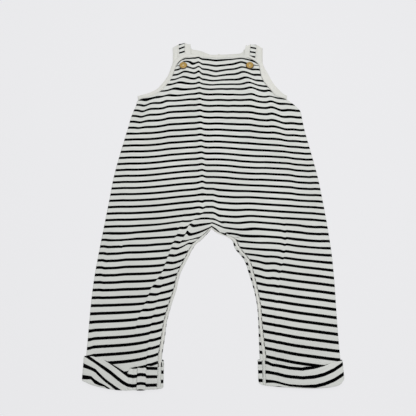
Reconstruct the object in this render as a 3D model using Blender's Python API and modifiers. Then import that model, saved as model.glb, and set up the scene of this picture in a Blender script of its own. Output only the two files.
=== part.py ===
"""Striped jersey romper for a baby, laid flat on its back.

Units: every size below is in millimetres and is turned to metres once, where a
mesh gets its points.  +X is the viewer's right, +Y runs from the ankles to the
neckline, +Z is up.  The origin is the middle of the garment on the floor.

The cloth was cut and sewn from a front panel, a back panel, two shoulder
straps, bindings, an inseam band and two turned-up cuffs.  Two wooden buttons
close the bib over the straps.  The black stripes are numbered from 0 under the
neckline binding to 46 above the cuffs, and the panels are drawn row by row
along them, so that outline and stripes share the same short tables.
"""

import math
from collections import namedtuple

import bmesh
import bpy
from mathutils import Vector

MM = 0.001

# Cloth
WALL = 1.2            # thickness of one layer of jersey
BINDING_WALL = 1.4    # folded binding, pressed flat
GAP = 0.3             # between two pieces that are sewn to each other
SEAM_GAP = 0.6        # the same seam in plan, where the lofted front leans over it
LEVEL = WALL + GAP    # height of one layer in the stack
LOFT = 2.6            # air under the front panel away from its seams
LOFT_FADE = 26.0      # distance from a seam over which the front rises
BINDING_WIDTH = 8.0
BINDING_CROWN = 0.4   # rise of the binding along its middle
BAND_WIDTH = 4.4      # inseam band
BAND_WIDTH_AT_APEX = 2.0
BAND_WIDTH_RUN = 40.0  # distance from the apex over which the band grows
BAND_CROWN = 0.2

# Rows of the panels, counted in stripes
FIRST_ROW = -0.2      # neckline of the bib
UNDERARM = 7.0        # where the armhole meets the side seam
APEX = 30.2           # top of the gap between the legs
LAST_STRIPE = 46.0
FORK_ROW = 28.0       # from here the rows of the two legs part
CUFF_RISE_ROWS = (42.8, 44.3)   # the leg climbs onto its cuff between these
RIDGE_X = -18.0       # the stripes are highest along this line
LEFT_DROOP_SHARE = 0.8  # they reach their left height this far out, then run level
CUFFED_ROWS = 2       # rows of a leg's cloth inside its cuff
FRONT_COLUMNS = 12
BACK_COLUMNS = 11

# Where the front lies flatter
BIB_FLAT_Y = 236.0    # its loft sinks from here up to the neckline
BIB_FLAT_RUN = 25.0
BIB_LOFT_SHARE = 0.2
CUFF_FLAT_RUN = 32.0  # its loft ends over this length above the cuffs' back edge

# The back panel beside the front
SIDE_SEAM_SLIP = 6.0  # its side seam lies this much lower at the underarm
SIDE_SEAM_SLIP_ROWS = (17.0, 7.0)
BACK_APEX_DROP = 2.4  # its leg gap starts this much lower
BACK_APEX_ROWS = (26.0, 30.0, 34.0)
ARMHOLE_ROW_EASE = 1.6
NECK_SEAM_GAP = 0.9

# Buttons
BUTTON_RADIUS = 7.4
BUTTON_HOLE_RADIUS = 1.0
BUTTON_HOLE_PITCH = 3.0
BUTTON_HOLE_SEGMENTS = 8
BUTTON_SEGMENTS = 24
BUTTON_SEAT_MARGIN = 1.0  # the cloth is read this far round a button

Edge = namedtuple("Edge", "stripe x y")
Inseam = namedtuple("Inseam", "stripe x y back_margin")
Rail = namedtuple("Rail", "outer_x outer_y inner_x inner_y")
Hem = namedtuple("Hem", "x top_y bottom_y")
Strip = namedtuple("Strip", "top_x low_x fold_y")
Fold = namedtuple("Fold", "start middle end height width")
StrapStation = namedtuple("StrapStation", "below height")
Turning = namedtuple("Turning", "radius height")
Button = namedtuple("Button", "name x y")

# Outer edges of the front panel: armhole down to stripe 7, then the side seam.
FRONT_LEFT_EDGE = (
    Edge(-0.2, -50.5, 266.5), Edge(0.5, -60.0, 259.5), Edge(1, -65.5, 252.5),
    Edge(2, -69.5, 243.0), Edge(3, -73.0, 232.5), Edge(4, -78.0, 222.6),
    Edge(5, -84.5, 212.0), Edge(6, -96.5, 197.3), Edge(6.5, -111.0, 188.5),
    Edge(7, -133.0, 180.5), Edge(8, -137.5, 169.6), Edge(10, -144.5, 147.5),
    Edge(12, -149.5, 123.3), Edge(16, -159.5, 76.0), Edge(20, -168.0, 30.0),
    Edge(24, -172.8, -14.2), Edge(28, -178.0, -59.3), Edge(32, -183.0, -103.6),
    Edge(36, -187.2, -150.1), Edge(40, -188.6, -198.0), Edge(46, -188.4, -272.0),
)
FRONT_RIGHT_EDGE = (
    Edge(-0.2, 72.0, 265.5), Edge(0.5, 80.5, 258.5), Edge(1, 86.0, 252.5),
    Edge(2, 88.5, 242.5), Edge(3, 91.0, 231.0), Edge(4, 96.0, 218.6),
    Edge(5, 102.0, 208.3), Edge(6, 110.0, 197.0), Edge(6.5, 116.5, 188.0),
    Edge(7, 134.0, 182.0), Edge(8, 148.5, 170.0), Edge(9, 158.5, 157.5),
    Edge(10, 160.5, 144.2), Edge(12, 163.5, 119.3), Edge(16, 172.0, 72.5),
    Edge(20, 179.5, 28.8), Edge(24, 184.5, -16.0), Edge(28, 188.4, -60.6),
    Edge(32, 191.0, -106.8), Edge(36, 191.0, -154.5), Edge(40, 189.6, -202.9),
    Edge(46, 188.6, -275.0),
)
# Height of each stripe on the ridge line of the front.
RIDGE = (
    Edge(-0.2, RIDGE_X, 270.3), Edge(0, RIDGE_X, 268.5), Edge(1, RIDGE_X, 258.0),
    Edge(2, RIDGE_X, 246.5), Edge(4, RIDGE_X, 223.0), Edge(6, RIDGE_X, 202.5),
    Edge(8, RIDGE_X, 180.0), Edge(12, RIDGE_X, 131.8), Edge(16, RIDGE_X, 85.0),
    Edge(20, RIDGE_X, 40.0), Edge(24, RIDGE_X, -4.0), Edge(28, RIDGE_X, -46.0),
    Edge(APEX, RIDGE_X, -66.0),
)
# Middle of the front from the neckline to the top of the leg gap.
CENTRE = (
    Edge(-0.2, 8.0, 268.3), Edge(1, 8.0, 254.3), Edge(2, 8.0, 242.5),
    Edge(4, 8.0, 221.2), Edge(6, 7.0, 202.2), Edge(8, 6.0, 179.0),
    Edge(12, 4.5, 131.0), Edge(16, 3.0, 84.3), Edge(20, 2.0, 39.5),
    Edge(24, 1.0, -3.8), Edge(28, -0.5, -45.0), Edge(APEX, -1.8, -59.5),
)
# Inner edges of the legs, and how far the back panel shows beyond the front.
LEFT_INSEAM = (
    Inseam(APEX, -1.8, -59.5, 0.5), Inseam(31, -20.0, -77.0, 4.0),
    Inseam(32, -32.5, -87.5, 5.0), Inseam(34, -45.5, -113.0, 5.0),
    Inseam(36, -56.3, -136.8, 4.8), Inseam(38, -61.5, -161.0, 4.4),
    Inseam(40, -69.0, -185.4, 4.8), Inseam(42, -75.2, -209.0, 5.2),
    Inseam(44, -78.0, -233.6, 5.4), Inseam(46, -81.5, -257.5, 5.8),
)
RIGHT_INSEAM = (
    Inseam(APEX, -1.8, -59.5, 0.5), Inseam(30.35, 4.5, -64.5, 1.0),
    Inseam(30.5, 12.5, -68.6, 1.5), Inseam(30.65, 24.0, -71.6, 2.5),
    Inseam(31, 36.5, -79.6, 5.0), Inseam(32, 43.5, -93.5, 8.0),
    Inseam(34, 59.0, -114.5, 8.6), Inseam(36, 65.5, -138.5, 7.6),
    Inseam(38, 70.5, -163.0, 6.0), Inseam(40, 74.0, -187.0, 5.6),
    Inseam(42, 75.0, -211.0, 5.8), Inseam(44, 76.5, -235.5, 7.4),
    Inseam(46, 78.6, -259.5, 9.4),
)
# Armholes of the back, from the side seam up to the strap.
BACK_LEFT_ARMHOLE = (
    Rail(-134.5, 184.5, -134.8, 175.0), Rail(-117.0, 189.5, -113.0, 181.0),
    Rail(-104.5, 197.5, -97.5, 191.5), Rail(-95.0, 208.5, -86.5, 204.0),
    Rail(-86.5, 222.0, -77.5, 218.5), Rail(-79.5, 237.0, -69.8, 235.0),
    Rail(-75.5, 249.0, -64.8, 248.0), Rail(-73.6, 262.0, -62.6, 262.0),
)
BACK_RIGHT_ARMHOLE = (
    Rail(136.0, 187.5, 134.6, 175.0), Rail(128.5, 194.5, 123.5, 187.0),
    Rail(121.8, 202.3, 115.3, 195.5), Rail(114.2, 213.2, 106.3, 208.5),
    Rail(108.7, 224.0, 99.7, 221.0), Rail(103.6, 236.5, 94.6, 234.0),
    Rail(96.8, 252.5, 87.3, 250.5), Rail(94.4, 265.0, 83.4, 264.5),
)
# Back neckline from the left strap to the right one.
BACK_NECK = (
    Rail(-39.6, 293.5, -50.2, 291.5), Rail(-36.0, 290.8, -47.0, 283.5),
    Rail(-28.9, 289.6, -36.5, 280.0), Rail(-20.2, 287.0, -24.5, 277.0),
    Rail(-11.3, 282.8, -15.0, 272.8), Rail(-3.0, 279.2, -5.0, 269.0),
    Rail(7.0, 278.8, 6.5, 268.4), Rail(20.0, 279.4, 20.5, 269.0),
    Rail(38.0, 280.6, 38.5, 270.2), Rail(50.0, 281.6, 56.0, 271.8),
    Rail(55.0, 283.0, 62.5, 274.6), Rail(58.6, 286.0, 67.5, 279.0),
    Rail(60.6, 290.8, 70.6, 286.5),
)
# Strips across each strap, from its outer edge to its inner one.
LEFT_STRIPS = (
    Strip(-74.6, -73.0, 295.0), Strip(-63.0, -61.8, 303.4),
    Strip(-52.0, -50.6, 306.45), Strip(-40.8, -39.0, 302.6),
)
RIGHT_STRIPS = (
    Strip(96.2, 95.0, 294.4), Strip(84.6, 80.6, 302.0),
    Strip(73.6, 69.4, 303.0), Strip(64.6, 57.5, 300.6),
)
# Inner surface of a strap round its fold: distance below the fold, and height.
STRAP_FOLD = (
    StrapStation(7.0, 1.2), StrapStation(3.6, 1.3), StrapStation(1.9, 1.8), StrapStation(1.3, 2.5),
    StrapStation(1.9, 3.2), StrapStation(3.6, 3.6), StrapStation(8.0, 3.6),
    StrapStation(15.0, 2.8), StrapStation(24.0, 1.7),
)
STRAP_SEAM_Y = 284.3      # where each strap is sewn to the back panel
STRAP_FRONT_Y = (258.0, 246.0)  # its last two stations; it ends under the bib
STRAP_LEVEL_Y = 262.0     # above this the strap's strips use top_x more and more
STRAP_LIFT_START_Y = 225.0  # the bib climbs onto the strap ends above this
STRAP_LIFT_RUN = 12.0
STRAP_LIFT_MARGIN = 9.0   # the bib is lifted this far beside a strap
STRAP_LIFT_FADE = 7.0

# Turned-up cuffs: edges on the front, from the side seam to the inseam.
LEFT_CUFF = (
    Hem(-191.6, -258.5, -292.5), Hem(-177.0, -259.4, -298.4), Hem(-156.0, -265.5, -303.4),
    Hem(-139.5, -274.2, -305.7), Hem(-126.0, -281.5, -306.2), Hem(-112.0, -275.0, -305.6),
    Hem(-97.8, -271.0, -305.2), Hem(-81.0, -272.8, -304.4), Hem(-72.4, -273.0, -302.8),
)
RIGHT_CUFF = (
    Hem(191.6, -265.6, -293.5), Hem(178.0, -267.6, -300.4), Hem(166.5, -271.0, -302.2),
    Hem(147.0, -273.6, -303.2), Hem(126.0, -273.6, -303.2), Hem(99.0, -269.6, -301.4),
    Hem(79.0, -265.6, -299.2), Hem(66.0, -264.5, -295.6),
)
CUFF_BACK_TOP_Y = -264.0  # straight top edge of a cuff on the hidden side
CUFF_SIDE = 2.5           # from the cuff's outer side to the leg inside it
CUFF_CROWN = 0.9          # rise of the cuff's front along its middle
CUFF_SIDE_BULGE = 1.0
LEG_END_GAP = 2.6         # from the leg's end to the cuff's lower fold
CUFF_ROWS = 5
CUFF_ACROSS = 16
CUFF_SIDE_STEPS = 2

# Largest folds of the front: soft ridges along a line of three points.
FOLDS = (
    Fold((-18, 262), (-17, 170), (-14, 60), 1.1, 8.0),
    Fold((-50, 238), (-55, 222), (-62, 205), 1.2, 8.0),
    Fold((58, 256), (66, 232), (80, 205), 1.3, 9.0),
    Fold((107, 196), (110, 176), (113, 150), 1.3, 8.0),
    Fold((-108, 178), (-124, 150), (-134, 118), 1.2, 9.0),
    Fold((-12, -26), (-42, -72), (-78, -165), 2.0, 9.0),
    Fold((-78, -165), (-100, -215), (-112, -262), 1.5, 8.0),
    Fold((-86, -180), (-92, -225), (-98, -268), 1.3, 6.0),
    Fold((134, -62), (131, -96), (120, -132), 1.2, 9.0),
    Fold((10, -52), (16, -56), (24, -58), 1.5, 9.0),
)

# Rim, hollow and rounded edge of a button, from the top centre outwards.
BUTTON_PROFILE = (
    Turning(0.0, 2.0), Turning(2.9, 2.0), Turning(4.6, 2.5), Turning(5.4, 3.0), Turning(6.5, 2.9),
    Turning(7.4, 2.1), Turning(7.4, 1.2), Turning(6.2, 0.2), Turning(4.8, 0.0), Turning(0.0, 0.0),
)
BUTTONS = (Button("button_left", -53.3, 250.4), Button("button_right", 70.0, 250.2))

Finish = namedtuple("Finish", "hex_colour roughness")
STRIPED_JERSEY = Finish("D9D8D1", 0.9)
CREAM_BINDING = Finish("DEDDD3", 0.9)
BUTTON_WOOD = Finish("B98A3C", 0.45)


def clear_scene():
    for item in list(bpy.data.objects):
        bpy.data.objects.remove(item, do_unlink=True)


def linear_colour(hex_colour):
    channels = [int(hex_colour[i:i + 2], 16) / 255 for i in (0, 2, 4)]
    return [c / 12.92 if c <= 0.04045 else ((c + 0.055) / 1.055) ** 2.4 for c in channels]


def smoothstep(value):
    value = min(1.0, max(0.0, value))
    return value * value * (3.0 - 2.0 * value)


def lerp(start, end, share):
    return start + (end - start) * share


def curve_value(table, key_name, value_name, key):
    """Value of a named column at a key, on a cubic through the table's rows."""
    keys = [getattr(row, key_name) for row in table]
    values = [getattr(row, value_name) for row in table]
    if keys[0] > keys[-1]:
        keys.reverse()
        values.reverse()
    last = len(keys) - 1
    i = max(0, min(last - 1, sum(k <= key for k in keys) - 1))
    span = keys[i + 1] - keys[i]
    share = (key - keys[i]) / span

    def slope(j):
        before, after = max(0, j - 1), min(last, j + 1)
        return (values[after] - values[before]) / (keys[after] - keys[before])

    if share < 0.0 or share > 1.0:
        end = 0 if share < 0.0 else last
        return values[end] + slope(end) * (key - keys[end])
    s2, s3 = share * share, share ** 3
    return ((2 * s3 - 3 * s2 + 1) * values[i] + (s3 - 2 * s2 + share) * span * slope(i)
            + (3 * s2 - 2 * s3) * values[i + 1] + (s3 - s2) * span * slope(i + 1))


def edge_point(table, stripe):
    return (curve_value(table, "stripe", "x", stripe), curve_value(table, "stripe", "y", stripe))


def fade(value, start, end):
    """0 at start, 1 at end, smooth between them."""
    return smoothstep((value - start) / (end - start))


def distance_to_line(x, y, start, end):
    """Distance from a point to a straight stretch, and the share along it."""
    run, point = Vector(end) - Vector(start), Vector((x, y)) - Vector(start)
    share = min(1.0, max(0.0, point.dot(run) / run.length_squared))
    return (point - run * share).length, share


def fold_height(x, y):
    """Height that the largest folds add at a point of the front."""
    height = 0.0
    for fold in FOLDS:
        upper, along_upper = distance_to_line(x, y, fold.start, fold.middle)
        lower, along_lower = distance_to_line(x, y, fold.middle, fold.end)
        distance = min(upper, lower)
        along = along_upper / 2 if upper < lower else 0.5 + along_lower / 2
        height += fold.height * math.exp(-(distance / fold.width) ** 2) * math.sin(math.pi * along) ** 0.5
    return height


def inseam_distance(x, y, inseam):
    """Distance from a point to the edge of the leg gap."""
    return min(
        distance_to_line(x, y, (a.x, a.y), (b.x, b.y))[0] for a, b in zip(inseam, inseam[1:])
    )


def cuff_lift(stripe):
    """Rise of a leg's layers onto the hidden half of its cuff."""
    return LEVEL * fade(stripe, *CUFF_RISE_ROWS)


def strap_lift(x, y):
    """Rise of the bib over the ends of the straps."""
    lift = 0.0
    for strips in (LEFT_STRIPS, RIGHT_STRIPS):
        lows = [strip.low_x for strip in strips]
        middle, half = (min(lows) + max(lows)) / 2, (max(lows) - min(lows)) / 2
        beside = smoothstep((half + STRAP_LIFT_MARGIN - abs(x - middle)) / STRAP_LIFT_FADE)
        lift = max(lift, LEVEL * beside * smoothstep((y - STRAP_LIFT_START_Y) / STRAP_LIFT_RUN))
    return lift


def front_floor(x, y, stripe, seam_distance):
    """Height of the underside of the front cloth."""
    rise = smoothstep(seam_distance / LOFT_FADE)
    rise *= fade(y, CUFF_BACK_TOP_Y, CUFF_BACK_TOP_Y + CUFF_FLAT_RUN)
    rise *= lerp(1.0, BIB_LOFT_SHARE, fade(y, BIB_FLAT_Y, BIB_FLAT_Y + BIB_FLAT_RUN))
    return LEVEL + cuff_lift(stripe) + strap_lift(x, y) + rise * (LOFT + fold_height(x, y))


def body_row_y(stripe, x, side):
    """Height of a stripe of the body at x, between the ridge and one edge."""
    edge = FRONT_LEFT_EDGE if side < 0 else FRONT_RIGHT_EDGE
    edge_x, edge_y = edge_point(edge, stripe)
    ridge_y = curve_value(RIDGE, "stripe", "y", stripe)
    share = (x - RIDGE_X) / (edge_x - RIDGE_X)
    droop = smoothstep(share / LEFT_DROOP_SHARE) if side < 0 else share
    return lerp(ridge_y, edge_y, droop)


def panel_point(stripe, side, share, outer, inseam):
    """Point of a panel: share runs from the side seam (0) to the middle (1)."""
    outer_x, outer_y = edge_point(outer, stripe)
    if stripe <= APEX:
        inner_x, inner_y = edge_point(CENTRE, stripe)
    else:
        inner_x, inner_y = edge_point(inseam, stripe)
    x = lerp(outer_x, inner_x, share)
    across = lerp(outer_y, inner_y, share)
    if stripe >= APEX:
        return x, across
    droop = body_row_y(stripe, x, side) + (inner_y - body_row_y(stripe, inner_x, side)) * share ** 2
    return x, lerp(droop, across, fade(stripe, FORK_ROW, APEX))


def leg_end_y(cuff, x):
    """Lower end of the leg's cloth, just inside the cuff's fold."""
    table = sorted(cuff, key=lambda row: row.x)
    return curve_value(table, "x", "bottom_y", min(table[-1].x, max(table[0].x, x))) + LEG_END_GAP


def halves():
    return (
        (-1, FRONT_LEFT_EDGE, LEFT_INSEAM, LEFT_CUFF),
        (1, FRONT_RIGHT_EDGE, RIGHT_INSEAM, RIGHT_CUFF),
    )


def even_rows(start, end, count):
    """Row numbers from start up to, but not including, end."""
    return [lerp(start, end, i / count) for i in range(count)]


BIB_ROWS = even_rows(FIRST_ROW, UNDERARM, 12)
LEG_ROWS = [APEX, 30.35, 30.5, 30.65] + even_rows(31.0, LAST_STRIPE, 12) + [LAST_STRIPE]
FRONT_ROWS = BIB_ROWS + [UNDERARM, 8.0, 9.0] + even_rows(10.0, APEX, 14) + LEG_ROWS


def finish_material(name, finish):
    material = bpy.data.materials.new(name)
    material.use_nodes = True
    shader = material.node_tree.nodes["Principled BSDF"]
    shader.inputs["Base Color"].default_value = (*linear_colour(finish.hex_colour), 1.0)
    shader.inputs["Roughness"].default_value = finish.roughness
    shader.inputs["Metallic"].default_value = 0.0
    return material


def add_piece(name, mesh_data, finish, collection, smooth=True):
    piece = bpy.data.objects.new(name, mesh_data)
    collection.objects.link(piece)
    mesh_data.materials.append(finish_material(name + "_finish", finish))
    if smooth:
        mesh_data.shade_smooth()
        mesh_data.set_sharp_from_angle(angle=math.radians(50))
    return piece


def thicken(piece, wall):
    """Give an open surface its wall, on the side that its faces point to."""
    solidify = piece.modifiers.new("wall", "SOLIDIFY")
    solidify.thickness = wall * MM
    solidify.offset = 1.0
    solidify.use_even_offset = False


def place_grid(bm, columns, rows, point_at):
    """Add a grid and move its vertices to point_at(i, j), given in millimetres."""
    grid = bmesh.ops.create_grid(bm, x_segments=columns, y_segments=rows, size=1.0)
    for vertex in grid["verts"]:
        i = round((vertex.co.x + 1.0) / 2.0 * columns)
        j = round((vertex.co.y + 1.0) / 2.0 * rows)
        vertex.co = Vector(point_at(i, j)) * MM


def surface_mesh(name, grids, faces_up=True):
    """Mesh of one or more grids joined where their edges meet."""
    bm = bmesh.new()
    for columns, rows, point_at in grids:
        place_grid(bm, columns, rows, point_at)
    bmesh.ops.remove_doubles(bm, verts=bm.verts, dist=0.02 * MM)
    bmesh.ops.recalc_face_normals(bm, faces=bm.faces)
    bm.faces.ensure_lookup_table()
    if (bm.faces[0].normal.z > 0) != faces_up:
        bmesh.ops.reverse_faces(bm, faces=bm.faces)
    mesh_data = bpy.data.meshes.new(name)
    bm.to_mesh(mesh_data)
    bm.free()
    return mesh_data


def leg_row(rows, row, cuff):
    """Stripe of a row, and a function that drops rows below the last stripe."""
    below = max(0, row - len(rows) + 1) / CUFFED_ROWS
    return rows[min(row, len(rows) - 1)], lambda x, y: lerp(y, leg_end_y(cuff, x), below)


def front_point(row, share, half):
    """Point on the underside of the front panel."""
    side, outer, inseam, cuff = half
    stripe, dropped = leg_row(FRONT_ROWS, row, cuff)
    x, y = panel_point(stripe, side, share, outer, inseam)
    seam = min(abs(x - edge_point(outer, stripe)[0]), inseam_distance(x, y, inseam))
    y = dropped(x, y)
    return x, y, front_floor(x, y, stripe, seam)


def front_panel(collection):
    """Bib and both legs, sewn to the back at the sides and lying on it."""
    last_row = len(FRONT_ROWS) - 1 + CUFFED_ROWS
    grids = []
    for half in halves():
        def point_at(i, j, half=half):
            return front_point(last_row - j, i / FRONT_COLUMNS, half)
        grids.append((FRONT_COLUMNS, last_row, point_at))
    piece = add_piece("front_panel", surface_mesh("front_panel", grids), STRIPED_JERSEY, collection)
    thicken(piece, WALL)


def back_armhole_points(side):
    """Outer corner points of the back panel from the underarm to the strap seam."""
    rails, strips = (BACK_LEFT_ARMHOLE, LEFT_STRIPS) if side < 0 else (BACK_RIGHT_ARMHOLE, RIGHT_STRIPS)
    points = [(rail.inner_x - side * GAP, rail.inner_y - GAP) for rail in rails]
    return points + [(strap_x(strips[1], STRAP_SEAM_Y) - side * GAP, STRAP_SEAM_Y - GAP)]


def neck_edge_y(x):
    """Top edge of the back panel under its neck binding."""
    left, right = strap_x(LEFT_STRIPS[2], STRAP_SEAM_Y), strap_x(RIGHT_STRIPS[2], STRAP_SEAM_Y)
    points = [(left, STRAP_SEAM_Y)] + [(r.inner_x, r.inner_y) for r in BACK_NECK[1:-1]]
    points += [(right, STRAP_SEAM_Y)]
    for (x0, y0), (x1, y1) in zip(points, points[1:]):
        if x0 < x < x1:
            return lerp(y0, y1, (x - x0) / (x1 - x0)) - NECK_SEAM_GAP
    return STRAP_SEAM_Y - GAP


def back_point(row, share, half, torso_rows):
    """Point on the underside of the back panel."""
    side, outer, inseam, cuff = half
    armhole = back_armhole_points(side)[::-1]
    if row < len(armhole):
        outer_x, outer_y = armhole[row]
        stripe = UNDERARM * row / (len(armhole) - 1)
        inner_x, inner_y = edge_point(CENTRE, stripe)
        x = lerp(outer_x, inner_x, share)
        y = lerp(outer_y, inner_y, smoothstep(share * ARMHOLE_ROW_EASE))
        return x, neck_edge_y(x) if row == 0 else y, 0.0
    rows = torso_rows + LEG_ROWS
    stripe, dropped = leg_row(rows, row - len(armhole), cuff)
    outer_x, outer_y = edge_point(outer, stripe)
    outer_x -= side * GAP
    outer_y -= SIDE_SEAM_SLIP * fade(stripe, *SIDE_SEAM_SLIP_ROWS)
    drop_start, drop_full, drop_end = BACK_APEX_ROWS
    if stripe <= APEX:
        inner_x, inner_y = edge_point(CENTRE, stripe)
        inner_y -= BACK_APEX_DROP * fade(stripe, drop_start, drop_full)
    else:
        inner_x, inner_y = edge_point(inseam, stripe)
        inner_y -= BACK_APEX_DROP * fade(stripe, drop_end, drop_full)
        inner_x -= side * curve_value(inseam, "stripe", "back_margin", stripe)
    x = lerp(outer_x, inner_x, share)
    return x, dropped(x, lerp(outer_y, inner_y, share)), cuff_lift(stripe)


def back_panel(collection):
    """Whole back with both legs, flat on the floor."""
    torso_rows = even_rows(UNDERARM + 1.5, APEX, 8)
    last_row = len(BACK_LEFT_ARMHOLE) + len(torso_rows) + len(LEG_ROWS) + CUFFED_ROWS
    grids = []
    for half in halves():
        def point_at(i, j, half=half):
            return back_point(last_row - j, i / BACK_COLUMNS, half, torso_rows)
        grids.append((BACK_COLUMNS, last_row, point_at))
    piece = add_piece("back_panel", surface_mesh("back_panel", grids), STRIPED_JERSEY, collection)
    thicken(piece, WALL)


def ribbon(name, rails, finish, collection, wall, across=3, crown=0.0, faces_up=True):
    """Flat strip between two rails of points, a little higher along its middle."""
    def point_at(i, j):
        share = i / across
        left, right = (Vector(p) for p in rails[j])
        return left.lerp(right, share) + Vector((0, 0, crown * math.sin(math.pi * share)))
    mesh_data = surface_mesh(name, [(across, len(rails) - 1, point_at)], faces_up)
    piece = add_piece(name, mesh_data, finish, collection)
    thicken(piece, wall)


def offset_rails(points, widths, gap):
    """Rails beside a path of points: gap to its left, and gap plus width."""
    rails = []
    for i, (point, width) in enumerate(zip(points, widths)):
        run = points[min(i + 1, len(points) - 1)] - points[max(i - 1, 0)]
        left = Vector((-run.y, run.x, 0.0)).normalized()
        rails.append((point + left * gap, point + left * (gap + width)))
    return rails


def front_binding(collection):
    """One strip round the bib: armhole, corner, neckline, corner, armhole."""
    left_half, right_half = halves()
    underarm_row = len(BIB_ROWS)
    shares = [i / FRONT_COLUMNS for i in range(FRONT_COLUMNS + 1)]
    path = [front_point(row, 0.0, left_half) for row in range(underarm_row, 0, -1)]
    path += [front_point(0, share, left_half) for share in shares]
    path += [front_point(0, share, right_half) for share in shares[-2::-1]]
    path += [front_point(row, 0.0, right_half) for row in range(1, underarm_row + 1)]
    path = [Vector(point) for point in path]
    rails = []
    for near, far in offset_rails(path, [BINDING_WIDTH] * len(path), SEAM_GAP):
        far.z = LEVEL + strap_lift(far.x, far.y)
        rails.append((near, far))
    ribbon("front_binding", rails, CREAM_BINDING, collection, BINDING_WALL, crown=BINDING_CROWN)


def inseam_band(collection):
    """Narrow band from one ankle round the leg gap to the other."""
    left_half, right_half = halves()
    apex_row = FRONT_ROWS.index(APEX)
    last_row = len(FRONT_ROWS) - 1 + CUFFED_ROWS
    path = [front_point(row, 1.0, left_half) for row in range(last_row, apex_row, -1)]
    path += [front_point(row, 1.0, right_half) for row in range(apex_row, last_row + 1)]
    path = [Vector(point) for point in path]
    apex = path[last_row - apex_row]
    grown = [smoothstep((point - apex).length / BAND_WIDTH_RUN) for point in path]
    widths = [lerp(BAND_WIDTH_AT_APEX, BAND_WIDTH, share) for share in grown]
    rails = offset_rails(path, [-width for width in widths], -SEAM_GAP)
    ribbon("inseam_band", rails, CREAM_BINDING, collection, WALL, across=2, crown=BAND_CROWN)


def strap_x(strip, y):
    """Place of a strip's edge at a height of the strap."""
    share = (y - STRAP_LEVEL_Y) / (strip.fold_y - STRAP_LEVEL_Y)
    return lerp(strip.low_x, strip.top_x, min(1.0, max(0.0, share)))


def strap_rail(strip, lower_y, nudge=0.0):
    """Edge of a strip from the back layer, over the fold, to its end on the front."""
    points = [(strap_x(strip, lower_y) + nudge, lower_y, WALL)] if lower_y else []
    for station in STRAP_FOLD:
        y = strip.fold_y - station.below
        points.append((strap_x(strip, y) + nudge, y, station.height))
    for y in STRAP_FRONT_Y:
        points.append((strap_x(strip, y) + nudge, y, LEVEL))
    return points


def straps(collection):
    """Striped middle of each strap, folded over at the shoulder."""
    for name, strips in (("strap_left", LEFT_STRIPS), ("strap_right", RIGHT_STRIPS)):
        outer = strap_rail(strips[1], STRAP_SEAM_Y + GAP)
        inner = strap_rail(strips[2], STRAP_SEAM_Y + GAP)
        ribbon(name, list(zip(outer, inner)), STRIPED_JERSEY, collection, WALL, faces_up=False)


def armhole_bindings(collection):
    """Binding of each back armhole, running on along the strap's outer edge."""
    for name, rails, strips, side in (
        ("armhole_binding_left", BACK_LEFT_ARMHOLE, LEFT_STRIPS, -1),
        ("armhole_binding_right", BACK_RIGHT_ARMHOLE, RIGHT_STRIPS, 1),
    ):
        flat = [((r.outer_x, r.outer_y, WALL), (r.inner_x, r.inner_y, WALL)) for r in rails]
        outer = strap_rail(strips[0], STRAP_SEAM_Y)
        inner = strap_rail(strips[1], STRAP_SEAM_Y, nudge=side * GAP)
        stations = flat + list(zip(outer, inner))
        ribbon(name, stations, CREAM_BINDING, collection, WALL, across=2, faces_up=False)


def neck_binding(collection):
    """Binding of the back neckline, running on along both straps' inner edges."""
    left_outer = strap_rail(LEFT_STRIPS[3], None)[::-1]
    left_inner = strap_rail(LEFT_STRIPS[2], None, nudge=GAP)[::-1]
    right_outer = strap_rail(RIGHT_STRIPS[3], None)
    right_inner = strap_rail(RIGHT_STRIPS[2], None, nudge=-GAP)
    flat = [((r.outer_x, r.outer_y, WALL), (r.inner_x, r.inner_y, WALL)) for r in BACK_NECK]
    stations = list(zip(left_outer, left_inner)) + flat + list(zip(right_outer, right_inner))
    ribbon("neck_binding", stations, CREAM_BINDING, collection, WALL, across=2, faces_up=True)


def cuff(name, table, collection):
    """Turned-up end of a leg: a flattened tube round the leg's two layers."""
    table = sorted(table, key=lambda row: row.x)
    low_x, high_x = table[0].x + CUFF_SIDE - GAP, table[-1].x - CUFF_SIDE + GAP
    loop = 2 * (CUFF_ACROSS + CUFF_SIDE_STEPS)
    inner_top = 3 * LEVEL + GAP

    def ring_point(i, share):
        """Point of the tube's inner surface: i goes round it, share goes down it."""
        if i <= CUFF_ACROSS:
            across, on_top, swing = i / CUFF_ACROSS, True, 0.0
        elif i < CUFF_ACROSS + CUFF_SIDE_STEPS:
            across, on_top, swing = 1.0, True, (i - CUFF_ACROSS) / CUFF_SIDE_STEPS
        elif i <= loop - CUFF_SIDE_STEPS:
            across, on_top, swing = (loop - CUFF_SIDE_STEPS - i) / CUFF_ACROSS, False, 0.0
        else:
            across, on_top, swing = 0.0, False, (i - loop + CUFF_SIDE_STEPS) / CUFF_SIDE_STEPS
        x = lerp(low_x, high_x, across)
        bottom_y = curve_value(table, "x", "bottom_y", x)
        top_y = curve_value(table, "x", "top_y", x)
        if swing:
            x += (1.0 if across else -1.0) * CUFF_SIDE_BULGE * math.sin(math.pi * swing)
            z = lerp(inner_top, WALL, swing if on_top else 1.0 - swing)
            return x, lerp((top_y + CUFF_BACK_TOP_Y) / 2, bottom_y, share), z
        if on_top:
            crown = CUFF_CROWN * math.sin(math.pi * across) * math.sin(math.pi * share)
            return x, lerp(top_y, bottom_y, share), inner_top + crown
        return x, lerp(CUFF_BACK_TOP_Y, bottom_y, share), WALL

    def point_at(i, j):
        return ring_point(i % loop, 1.0 - j / CUFF_ROWS)

    piece_mesh = surface_mesh(name, [(loop, CUFF_ROWS, point_at)])
    thicken(add_piece(name, piece_mesh, STRIPED_JERSEY, collection), WALL)


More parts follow.
